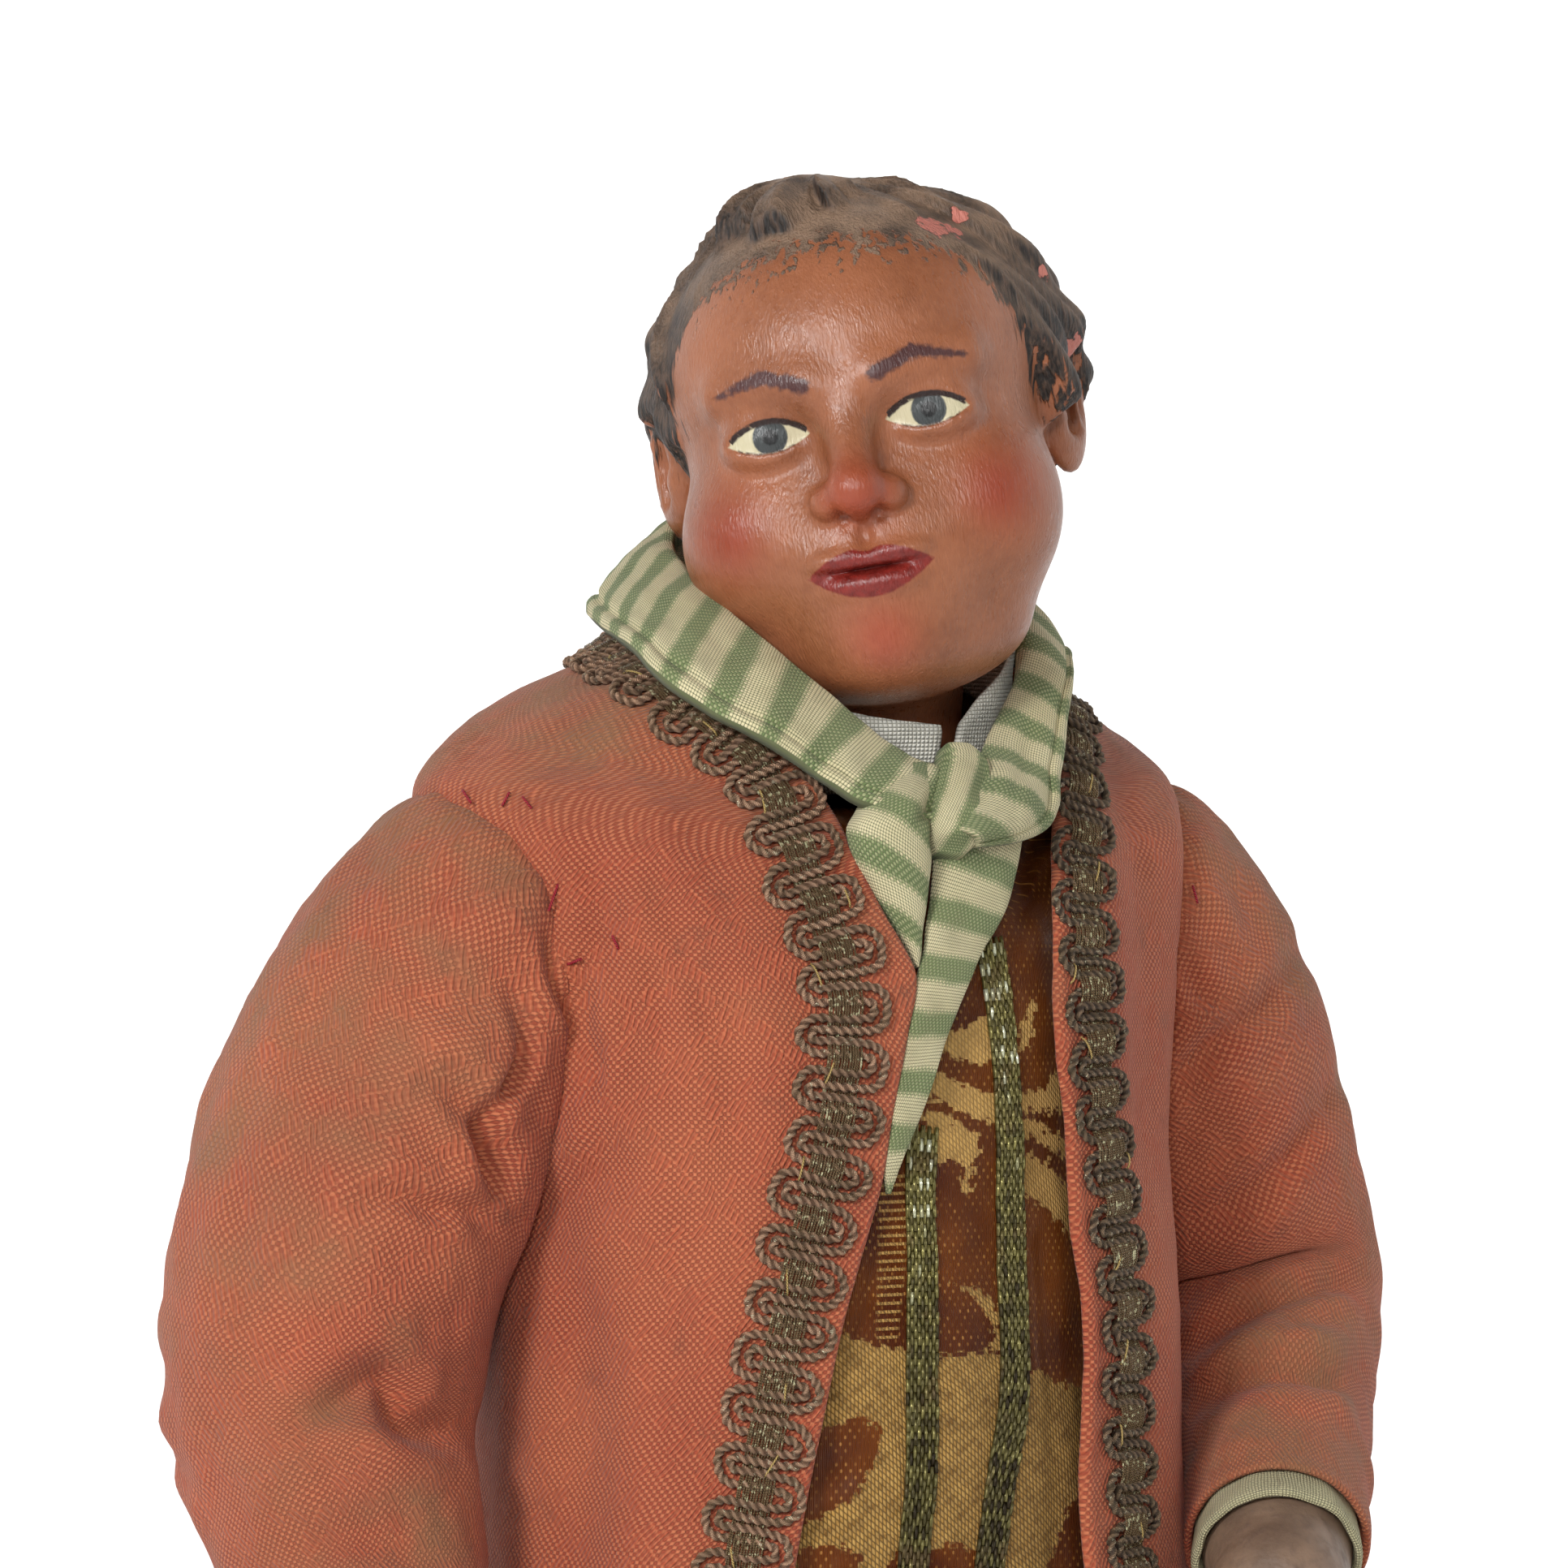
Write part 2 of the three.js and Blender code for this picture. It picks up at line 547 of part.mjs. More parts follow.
function makeWaistcoat(hole) {
  const trunk = torsoSolid(-COAT_CLOTH - GAP, WAISTCOAT_BOTTOM_Z, LINING_SEGMENTS, LINING_RING_HEIGHTS);
  return trunk.subtract(hole);
}

// A flat strip laid along a line on the coat, between two lifts above the coat's surface
function stripOnCoat(line, width, lowLift, highLift, steps, acrossSteps) {
  const path = curveThrough(line);
  const sections = [];
  for (let i = 0; i <= steps; i += 1) {
    const along = path.getPoint(i / steps);
    const tangent = path.getTangent(i / steps);
    const { point, normal } = onCoat(along, 0);
    const across = new THREE.Vector3().crossVectors(normal, tangent).normalize();
    const low = [];
    const high = [];
    for (let j = 0; j <= acrossSteps; j += 1) {
      const shift = (j / acrossSteps - 0.5) * width;
      const side = point.clone().addScaledVector(across, shift);
      low.push(onCoat(side, lowLift).point);
      high.push(onCoat(side, highLift).point);
    }
    sections.push([...low, ...high.reverse()]);
  }
  return loft(sections);
}

function frontLine(places) {
  return places.map(([x, z]) => onCoat(new THREE.Vector3(x, -30, z), 0).point.toArray());
}

function makeBraid(front, shoulder, width) {
  const line = [...frontLine(front), ...shoulder];
  return stripOnCoat(line, width, BRAID_LIFT, BRAID_LIFT + BRAID_THICKNESS, BRAID_STEPS, 2);
}

function makeRibbon(places) {
  const low = GAP - COAT_CLOTH - GAP;
  return stripOnCoat(frontLine(places), RIBBON_WIDTH, low, low + RIBBON_THICKNESS, 12, 1);
}

function makeSleeve(arm, torso) {
  const sleeve = taperedTube(arm, SLEEVE_SEGMENTS, ARM_RINGS);
  return sleeve.subtract(torso).subtract(sleeveEndHole(arm));
}

// Cravat

function cravatBand() {
  const edges = bandEdges();
  const sections = edges.map(({ foot, top }, i) => {
    const before = edges[Math.max(i - 1, 0)].foot;
    const after = edges[Math.min(i + 1, edges.length - 1)].foot;
    const along = after.clone().sub(before);
    const up = top.clone().sub(foot);
    const outward = new THREE.Vector3().crossVectors(up, along).normalize();
    const nearKnot = THREE.MathUtils.smoothstep(i / (edges.length - 1), 0.8, 0.95);
    const bulge = THREE.MathUtils.lerp(BAND_BULGE, BAND_KNOT_BULGE, nearKnot);
    const middle = foot.clone().lerp(top, 0.5).addScaledVector(outward, bulge);
    const inner = [foot, middle, top];
    const outer = inner.map((point) => point.clone().addScaledVector(outward, CRAVAT_CLOTH));
    return [...inner, ...outer.reverse()];
  });
  return loft(sections);
}

// A tail or a fold of the knot: a crowned patch between two edges, with a flat back
function clothPatch(rows, depth) {
  const sections = rows.map((row) => {
    const right = new THREE.Vector3(row[0], row[1], row[2]);
    const left = new THREE.Vector3(row[3], row[4], row[5]);
    const place = (share, lift) => {
      const flat = right.clone().lerp(left, share);
      return flat.clone().addScaledVector(onCoat(flat, 0).normal, lift);
    };
    const crown = (share) => row[6] * (1 - (2 * share - 1) ** 2) ** 0.6;
    const low = [0, 0.5, 1].map((share) => place(share, -depth));
    const high = [0, 0.2, 0.5, 0.8, 1].map((share) => place(share, crown(share)));
    return [...low, ...high.reverse()];
  });
  return loft(sections);
}

function makeCravat(headRoom, coatRoom) {
  const tails = [SHORT_TAIL, LONG_TAIL].map((rows) => clothPatch(rows, TAIL_DEPTH));
  const whole = unite([cravatBand(), ...tails, clothPatch(KNOT_WRAP, KNOT_WRAP_DEPTH)]);
  return largestBody(whole.subtract(headRoom).subtract(coatRoom));
}

// Shirt collar

function makeCollar(headRoom, cravat) {
  const first = COLLAR_STATIONS[0][0];
  const last = COLLAR_STATIONS[COLLAR_STATIONS.length - 1][0];
  const steps = 22;
  const sections = [];
  for (let i = 0; i <= steps; i += 1) {
    const degrees = first + ((last - first) * i) / steps;
    const angle = THREE.MathUtils.degToRad(degrees);
    const topZ = tableValue(COLLAR_STATIONS, degrees, 1);
    const topRadius = tableValue(COLLAR_STATIONS, degrees, 2);
    const place = (radius, z) => new THREE.Vector3(
      NECK_AXIS[0] + Math.cos(angle) * radius,
      NECK_AXIS[1] + Math.sin(angle) * radius,
      z,
    );
    const bottomZ = Math.max(topZ - COLLAR_HEIGHT, NECK_FOOT_Z);
    sections.push([
      place(topRadius - COLLAR_FLARE - COLLAR_CLOTH, bottomZ),
      place(topRadius - COLLAR_FLARE, bottomZ),
      place(topRadius, topZ),
      place(topRadius - COLLAR_CLOTH, topZ),
    ]);
  }
  return loft(sections).subtract(headRoom).subtract(cravat);
}

// Head, as one smooth field of distances

function smoothMin(a, b, k) {
  const h = Math.max(k - Math.abs(a - b), 0) / k;
  return Math.min(a, b) - (h * h * k) / 4;
}

function smoothMax(a, b, k) {
  return -smoothMin(-a, -b, k);
}

function ellipsoidDistance(p, at, half) {
  const x = (p.x - at[0]) / half[0];
  const y = (p.y - at[1]) / half[1];
  const z = (p.z - at[2]) / half[2];
  const near = Math.hypot(x, y, z);
  const slope = Math.hypot(x / half[0], y / half[1], z / half[2]);
  return slope < 1e-9 ? -Math.min(...half) : (near * (near - 1)) / slope;
}

function capsuleDistance(p, from, to, startRadius, endRadius) {
  const start = vec(from);
  const way = vec(to).sub(start);
  const t = Math.min(Math.max(p.clone().sub(start).dot(way) / way.lengthSq(), 0), 1);
  const radius = startRadius + (endRadius - startRadius) * t;
  return p.distanceTo(start.addScaledVector(way, t)) - radius;
}

function formDistance(p, form) {
  return ellipsoidDistance(p, form.at, form.half);
}

function mirrored(form, side) {
  return { ...form, at: [side * form.at[0], form.at[1], form.at[2]] };
}

function hairDistance(p) {
  const cap = smoothMin(formDistance(p, HAIR), formDistance(p, TUFT), TUFT.blend);
  const around = Math.atan2(p.x, -p.y);
  const waves = 0.35 * Math.sin(around * 9 + p.z * 0.45) + 0.25 * Math.sin(around * 5 - p.z * 0.7);
  return smoothMax(cap - waves, tableValue(HAIR_LINE, p.y, 1) - p.z, HAIR.blend);
}

function eyeDistance(d, p, side) {
  let field = smoothMax(d, -formDistance(p, mirrored(EYE_SOCKET, side)), EYE_SOCKET.blend);
  field = smoothMin(field, formDistance(p, mirrored(EYE_BALL, side)), EYE_BALL.blend);
  const inner = [side * BROW.inner[0], BROW.inner[1], BROW.inner[2]];
  const outer = [side * BROW.outer[0], BROW.outer[1], BROW.outer[2]];
  return smoothMin(field, capsuleDistance(p, inner, outer, BROW.innerRadius, BROW.outerRadius), BROW.blend);
}

function headDistance(p) {
  let d = formDistance(p, SKULL);
  for (const form of FACE_FORMS) {
    d = smoothMin(d, formDistance(p, form), form.blend);
  }
  d = eyeDistance(d, p, -1);
  d = eyeDistance(d, p, 1);
  for (const form of MOUTH_FORMS) {
    d = smoothMin(d, formDistance(p, form), form.blend);
  }
  const { top, bottom, topRadius, bottomRadius, blend } = NOSE_BRIDGE;
  d = smoothMin(d, capsuleDistance(p, top, bottom, topRadius, bottomRadius), blend);
  for (const form of NOSE_FORMS) {
    d = smoothMin(d, formDistance(p, form), form.blend);
  }
  return smoothMin(d, hairDistance(p), HAIR_JOIN);
}

// The head's surface by walking in from outside along rays, which are closer together at the face
function headShell(grow, columns, rows) {
  const reachOutside = 42;
  const faceCrowding = 0.42;
  const geometry = new THREE.SphereGeometry(1, columns, rows);
  geometry.rotateX(Math.PI / 2);
  const position = geometry.getAttribute('position');
  const ray = new THREE.Vector3();
  const point = new THREE.Vector3();
  for (let i = 0; i < position.count; i += 1) {
    ray.fromBufferAttribute(position, i);
    const around = Math.atan2(ray.x, -ray.y);
    const level = Math.hypot(ray.x, ray.y);
    const eased = around - faceCrowding * Math.sin(around);
    ray.set(Math.sin(eased) * level, -Math.cos(eased) * level, ray.z);
    let reach = reachOutside;
    for (let step = 0; step < 70; step += 1) {
      point.copy(ray).multiplyScalar(reach);
      reach -= 0.8 * (headDistance(point) - grow);
    }
    position.setXYZ(i, ray.x * reach, ray.y * reach, ray.z * reach);
  }
  return geometry;
}

function earGeometry(side, grow) {
  const ear = new THREE.SphereGeometry(1, 8, 7);
  ear.scale(EAR.half[0] + grow, EAR.half[1] + grow, EAR.half[2] + grow);
  ear.rotateX(EAR.lean);
  ear.rotateZ(side * EAR.flare);
  ear.translate(side * EAR.at[0], EAR.at[1], EAR.at[2]);
  return ear;
}

function placeHead(geometry) {
  geometry.rotateY(HEAD_LEAN);
  geometry.rotateZ(HEAD_TURN);
  geometry.translate(HEAD_AT.x, HEAD_AT.y, HEAD_AT.z);
  return geometry;
}

function makeHead(grow, columns, rows) {
  const pieces = [headShell(grow, columns, rows), earGeometry(-1, grow), earGeometry(1, grow)];
  const neck = taperedTube([
    [NECK_AXIS[0], NECK_AXIS[1], NECK_FOOT_Z, NECK_RADIUS + grow],
    [NECK_AXIS[0], NECK_AXIS[1] - 0.5, NECK_FOOT_Z + NECK_BEND_RISE, NECK_RADIUS - 0.6 + grow],
    [HEAD_AT.x, HEAD_AT.y + NECK_TOP_BACK, HEAD_AT.z - NECK_TOP_DROP, NECK_RADIUS + grow],
  ], NECK_SEGMENTS, 3);
  return unite([...pieces.map((piece) => solidFrom(placeHead(piece))), neck]);
}

// Cuffs and hands

function armEnd(arm) {
  const end = vec(arm[arm.length - 1]);
  const before = vec(arm[arm.length - 2]);
  return { end, way: end.clone().sub(before).normalize() };
}

function cylinderAlong(start, way, radius, length, segments) {
  const geometry = new THREE.CylinderGeometry(radius, radius, length, segments);
  geometry.translate(0, length / 2, 0);
  const turn = new THREE.Quaternion().setFromUnitVectors(new THREE.Vector3(0, 1, 0), way);
  geometry.applyQuaternion(turn);
  geometry.translate(start.x, start.y, start.z);
  return solidFrom(geometry);
}

function sleeveEndHole(arm) {
  const { end, way } = armEnd(arm);
  const start = end.clone().addScaledVector(way, -CUFF_HIDDEN - GAP);
  return cylinderAlong(start, way, CUFF_RADIUS + GAP, 3 * CUFF_HIDDEN, CUFF_SEGMENTS);
}

function makeCuff(arm) {
  const { end, way } = armEnd(arm);
  const start = end.clone().addScaledVector(way, -CUFF_HIDDEN);
  const length = CUFF_HIDDEN + CUFF_SHOWN;
  const below = start.clone().addScaledVector(way, -1);
  const outer = cylinderAlong(start, way, CUFF_RADIUS, length, CUFF_SEGMENTS);
  const inner = cylinderAlong(below, way, CUFF_RADIUS - CUFF_CLOTH, length + 2, CUFF_SEGMENTS);
  return outer.subtract(inner);
}

function makeHand(arm, hand) {
  const { end, way } = armEnd(arm);
  const start = end.clone().addScaledVector(way, -CUFF_HIDDEN + GAP);
  const along = vec(hand.along).normalize();
  const palm = vec(hand.palm);
  palm.addScaledVector(along, -palm.dot(along)).normalize();
  const across = new THREE.Vector3().crossVectors(along, palm).multiplyScalar(hand.thumbSide);
  const knuckleBase = end.clone().addScaledVector(way, CUFF_SHOWN * 0.5);
  const place = (side, forward, down) => knuckleBase.clone()
    .addScaledVector(across, side)
    .addScaledVector(along, forward)
    .addScaledVector(palm, down)
    .toArray();
  const wrist = taperedTube([
    [...start.toArray(), WRIST_RADIUS],
    [...end.toArray(), WRIST_RADIUS],
    [...place(0, 6, 0), WRIST_RADIUS - 1.2],
  ], LIMB_SEGMENTS, 3);
  const palmBall = new THREE.SphereGeometry(1, 8, 6);
  palmBall.scale(PALM_HALF[1], PALM_HALF[2], PALM_HALF[0]);
  const basis = new THREE.Matrix4().makeBasis(across, along, palm);
  if (basis.determinant() < 0) {
    basis.makeBasis(across.clone().negate(), along, palm);
  }
  palmBall.applyMatrix4(basis);
  palmBall.translate(...place(0, PALM_LENGTH * 0.62, 0));
  const fingers = FINGERS.map(([side, from, length, radius, bend]) => taperedTube([
    [...place(side * 0.85, from - 4, 0), radius],
    [...place(side, from + length * 0.4, length * bend * 0.3), radius],
    [...place(side * 0.98, from + length * 0.75, length * bend * 0.8), radius * 0.92],
    [...place(side * 0.94, from + length * 0.9, length * bend * 1.4), radius * 0.6],
  ], FINGER_SEGMENTS, 3));
  const [side, from, length, radius] = THUMB;
  const thumb = taperedTube([
    [...place(side * 0.6, from, 0.8), radius * 1.2],
    [...place(side * 1.2, from + length * 0.45, 2.2), radius],
    [...place(side * 1.25, from + length * 0.85, 3.6), radius * 0.9],
    [...place(side * 1.15, from + length, 4.2), radius * 0.55],
  ], FINGER_SEGMENTS, 3);
  return unite([wrist, solidFrom(palmBall), ...fingers, thumb]);
}

// Breeches, legs and base

function ovalRing(z, centreX, halfX, centreY, halfY, segments) {
  const ring = [];
  for (let i = 0; i < segments; i += 1) {
    const angle = (i / segments) * Math.PI * 2;
    ring.push(new THREE.Vector3(centreX + halfX * Math.cos(angle), centreY + halfY * Math.sin(angle), z));
  }
  return ring;
}

function makeBreeches() {
  const seat = loft(BREECHES_STATIONS.map((station) => ovalRing(...station, BREECHES_SEGMENTS)));
  const thighs = [RIGHT_THIGH, LEFT_THIGH].map((rows) => taperedTube(rows, LIMB_SEGMENTS, 5));
  const floor = new THREE.BoxGeometry(120, 120, 40);
  floor.translate(0, 0, KNEE_Z - 20);
  return unite([seat, ...thighs]).subtract(solidFrom(floor));
}

function makeLeg(foot, knee) {
  const calf = CALF.map(([z, radius]) => {
    const t = (KNEE_Z - z) / KNEE_Z;
    const centreX = knee[0] + (foot.at[0] - knee[0]) * t;
    const swell = CALF_SWELL_BACK * Math.sin(Math.min(t * 1.4, 1) * Math.PI);
    const centreY = knee[1] + (foot.at[1] + 3 - knee[1]) * t + swell;
    return ovalRing(z, centreX, radius, centreY, radius * 1.04, LIMB_SEGMENTS);
  });
  const sections = SHOE_SECTIONS.map(([along, half, height, lift]) => {
    const section = [];
    for (let i = 0; i < LIMB_SEGMENTS; i += 1) {
      const angle = (i / LIMB_SEGMENTS) * Math.PI * 2;
      const up = Math.max(Math.sin(angle), -0.55) + 0.55;
      section.push(new THREE.Vector3(half * Math.cos(angle), along, lift + (height - lift) * (up / 1.55)));
    }
    return section;
  });
  const shoe = new LoftGeometry(sections, { capStart: true, capEnd: true });
  shoe.rotateZ(foot.turn);
  shoe.translate(foot.at[0], foot.at[1], 0);
  return loft(calf.reverse()).add(solidFrom(shoe));
}

function makeBase() {
  const halfX = BASE_LENGTH / 2;
  const halfY = BASE_DEPTH / 2;
  const ring = (inset, z) => {
    const points = [];
    for (const [signX, signY, turn] of [[1, 1, 0], [-1, 1, 1], [-1, -1, 2], [1, -1, 3]]) {
      for (let i = 0; i <= 3; i += 1) {
        const angle = (turn + i / 3) * (Math.PI / 2);
        const round = BASE_CORNER - inset;
        points.push(new THREE.Vector3(
          signX * (halfX - BASE_CORNER) + round * Math.cos(angle),
          signY * (halfY - BASE_CORNER) + round * Math.sin(angle),
          z,
        ));
      }
    }
    return points;
  };
  return loft([
    ring(0, 0),
    ring(0, BASE_THICKNESS - BASE_CHAMFER - 2),
    ring(BASE_CHAMFER * 0.5, BASE_THICKNESS - BASE_CHAMFER),
    ring(BASE_CHAMFER, BASE_THICKNESS),
  ]);
}

function makeFigure() {
  const torso = torsoSolid(0, HEM_Z, COAT_SEGMENTS, COAT_RING_HEIGHTS);
  const torsoRoom = torsoSolid(GAP, HEM_Z - 1, COAT_SEGMENTS, COAT_RING_HEIGHTS);
  const hole = neckHole();
  const head = makeHead(0, HEAD_COLUMNS, HEAD_ROWS);
  const headRoom = makeHead(ROOM_GAP, ROOM_COLUMNS, ROOM_ROWS);
  const cravat = makeCravat(headRoom, coatCloth(torsoRoom, GAP, hole));
  const cuffs = [RIGHT_ARM, LEFT_ARM].map(makeCuff);
  const sleeves = [RIGHT_ARM, LEFT_ARM].map((arm) => makeSleeve(arm, torsoRoom));
  const braids = [
    makeBraid(RIGHT_BRAID_FRONT, RIGHT_BRAID_SHOULDER, RIGHT_BRAID_WIDTH),
    makeBraid(LEFT_BRAID_FRONT, LEFT_BRAID_SHOULDER, LEFT_BRAID_WIDTH),
  ];
  const group = new THREE.Group();
  group.add(
    makeMesh(head, 'head', 0x9a5a3c),
    makeMesh(makeCollar(headRoom, cravat), 'shirt_collar', 0xd9d7c8),
    makeMesh(cravat, 'cravat', 0xb9bd94),
    makeMesh(coatCloth(torso, 0, hole), 'coat', 0xc8694e),
    makeMesh(sleeves[0], 'sleeve_right', 0xc8694e),
    makeMesh(sleeves[1], 'sleeve_left', 0xc8694e),
    makeMesh(braids[0], 'braid_right', 0x7c664c),
    makeMesh(braids[1], 'braid_left', 0x7c664c),
    makeMesh(makeWaistcoat(hole), 'waistcoat', 0x7a4a18),
    makeMesh(makeRibbon(RIGHT_RIBBON), 'ribbon_right', 0x5d6238),
    makeMesh(makeRibbon(LEFT_RIBBON), 'ribbon_left', 0x5d6238),
    makeMesh(cuffs[0], 'cuff_right', 0xb0aa82),
    makeMesh(cuffs[1], 'cuff_left', 0xb0aa82),
    makeMesh(makeHand(RIGHT_ARM, RIGHT_HAND), 'hand_right', 0x8a6a50),
    makeMesh(makeHand(LEFT_ARM, LEFT_HAND), 'hand_left', 0x8a6a50),
    makeMesh(makeBreeches(), 'breeches', 0x3a3128),
    makeMesh(makeLeg(RIGHT_FOOT, RIGHT_THIGH[RIGHT_THIGH.length - 1]), 'leg_right', 0xc9c2ae),
    makeMesh(makeLeg(LEFT_FOOT, LEFT_THIGH[LEFT_THIGH.length - 1]), 'leg_left', 0xc9c2ae),
  );
  group.position.z = BASE_THICKNESS + GAP;
  return group;
}

const part = new THREE.Group();
part.name = 'presepe_figure';
part.add(makeFigure());
part.add(makeMesh(makeBase(), 'base', 0x4a3424));

export default part;
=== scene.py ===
"""Looks of a presepe figure: a stout man in a braided coat, a brocade waistcoat and a striped
neck cloth, on a low base. Forms are worked out in millimetres above the soles of his shoes, and
meshes are written in metres in the frame of the model."""

import math

import bmesh
import bpy
import numpy as np
import openvdb
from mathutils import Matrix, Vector


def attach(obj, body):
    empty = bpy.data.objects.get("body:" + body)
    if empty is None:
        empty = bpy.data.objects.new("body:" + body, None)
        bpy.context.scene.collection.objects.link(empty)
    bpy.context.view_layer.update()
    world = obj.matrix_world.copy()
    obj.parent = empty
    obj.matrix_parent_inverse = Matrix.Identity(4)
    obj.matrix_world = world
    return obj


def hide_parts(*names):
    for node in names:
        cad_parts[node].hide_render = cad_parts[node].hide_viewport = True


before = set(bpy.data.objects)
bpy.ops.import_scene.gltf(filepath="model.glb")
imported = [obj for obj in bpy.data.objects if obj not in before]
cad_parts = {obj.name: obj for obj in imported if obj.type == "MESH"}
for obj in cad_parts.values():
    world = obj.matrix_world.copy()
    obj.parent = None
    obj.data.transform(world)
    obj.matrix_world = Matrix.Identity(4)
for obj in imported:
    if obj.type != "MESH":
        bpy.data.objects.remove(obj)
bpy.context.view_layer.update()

MM = 0.001
FIGURE_LIFT = 14.3
BASE_SIZE = (118, 100, 14)
HEM_Z = 154
COAT_TOP_Z = 308
WAISTCOAT_BOTTOM_Z = 182
TORSO_POWER = 2.2
COAT_THICKNESS = 1.1
COAT_CLOTH_WIDTH = 250
WAISTCOAT_DEPTH = 2.3
WAISTCOAT_EDGE_X = 6
CRAVAT_THICKNESS = 1.1

# The camera stands to the figure's right, a little above the level of his chest
VIEW_TURN = math.radians(-28)
VIEW_RISE = math.radians(2)
VIEW_DISTANCE = 0.7
VIEW_WIDTH = 0.159
VIEW_TARGET_SIDE = -0.0073
VIEW_TARGET_Z = 0.3034
SENSOR_WIDTH = 36
# Unit vectors across the view, level towards the camera and straight to it
VIEW_SIDE = np.array([math.cos(VIEW_TURN), math.sin(VIEW_TURN), 0])
VIEW_TOWARDS = np.array([math.sin(VIEW_TURN), -math.cos(VIEW_TURN), 0])
VIEW_BACK = VIEW_TOWARDS * math.cos(VIEW_RISE) + (0, 0, math.sin(VIEW_RISE))
VIEW_TARGET = VIEW_SIDE * VIEW_TARGET_SIDE + (0, 0, VIEW_TARGET_Z)
# The lights on the backdrop shine away from the figure, at these angles from +X, in watts each
BACKDROP_LIGHT_TURNS = [math.radians(turn) for turn in (2, 62, 122)]
BACKDROP_POWER = 13
WORLD_STRENGTH = 0.14

# The coat's outer surface: a height, then the middle and half width across and front to back
COAT_STATIONS = [
    [154, 0, 50, 0, 39], [170, -1.4, 46.1, -0.5, 37], [188, -2.7, 41.3, -1, 35], [205, -4, 37.5, -1.5, 33.5],
    [222, -4.3, 35.9, -1.5, 32.5], [240, -4.3, 36.1, -1, 31], [255, -4.8, 36.4, -0.5, 30],
    [270, -5, 38.4, 0, 28.5], [283, -5.4, 41, 1, 25.5], [290, -6.3, 40.4, 1.5, 23],
    [295, -7.1, 34.6, 2, 21], [299, -7.2, 27.6, 2, 19.2], [302, -4.6, 22.8, 2, 18.3],
    [305, -2.4, 20.8, 2, 18.1], [308, -1.4, 19.8, 2, 18],
]
# The coat's front edges, as [height, x]
RIGHT_EDGE = [
    [154, -30], [170, -28.6], [190, -26.8], [205, -25.2], [214.9, -23.3], [222.4, -21.8], [229.9, -20],
    [238.6, -17.7], [247.3, -14.8], [251.4, -13.4], [257.4, -12.1], [262.4, -10.8], [266.8, -9.6],
    [270.7, -8.5], [272.6, -8.7], [277.8, -11.1], [283.1, -13.1], [287.5, -14.6], [291, -16.6],
    [296, -19.5],
]
LEFT_EDGE = [
    [154, 14], [170, 12], [190, 9.5], [213.1, 8], [220.8, 7.8], [228.4, 8.6], [233, 9.2], [239, 9.2],
    [246.3, 8.2], [257.2, 8], [263.2, 7.3], [269.1, 7.5], [275.6, 8.7], [282.7, 9.8], [287, 11],
    [293, 13],
]
# The middles of the braids, as [x, z] up the front and then as [x, y, z] over the shoulders
RIGHT_BRAID_FRONT = [
    [-35.5, 154.4], [-34, 170], [-32, 190], [-30.4, 205], [-29, 214.9], [-27.4, 222.5], [-25.2, 231.8],
    [-23.3, 240], [-20.7, 249.3], [-18.7, 256.2], [-17.6, 262], [-17, 268.4], [-17.1, 273.4],
    [-18.1, 278.1], [-19, 281.6], [-20, 285.8],
]
RIGHT_BRAID_SHOULDER = [
    [-21.6, -19.8, 291.8], [-24.2, -17.2, 295.2], [-26.8, -13.6, 297.6], [-28, -8.8, 299.6],
    [-27.2, -1.5, 301.6], [-23.6, 8.5, 302.2], [-16.5, 17, 302.4],
]
LEFT_BRAID_FRONT = [
    [20.5, 154.4], [18.2, 170], [15.6, 190], [14.1, 205], [13.6, 213], [13.8, 220], [14.4, 228],
    [14.9, 236.3], [14.6, 243], [14, 249], [13.2, 256], [12.8, 263], [12.7, 269], [13, 275],
    [13.8, 281], [14.6, 286.8],
]
LEFT_BRAID_SHOULDER = [
    [15.8, -18.6, 292.7], [17.6, -13, 296.4], [20.4, -4, 299.2], [20.8, 6.5, 299.6], [17.6, 14.8, 300.2],
]
RIGHT_RIBBON = [
    [-7.7, 257.7], [-8.5, 252.3], [-8.7, 244], [-9, 235.2], [-9.7, 223.5], [-10.8, 214.3], [-11.4, 200],
    [-11.8, 184],
]
LEFT_RIBBON = [
    [1.6, 277], [2, 272], [2.2, 263.3], [2.1, 253.6], [1.6, 244], [1.3, 235], [0.3, 227.4],
    [-0.9, 223], [-2.6, 213.7], [-4, 200], [-4.8, 184],
]
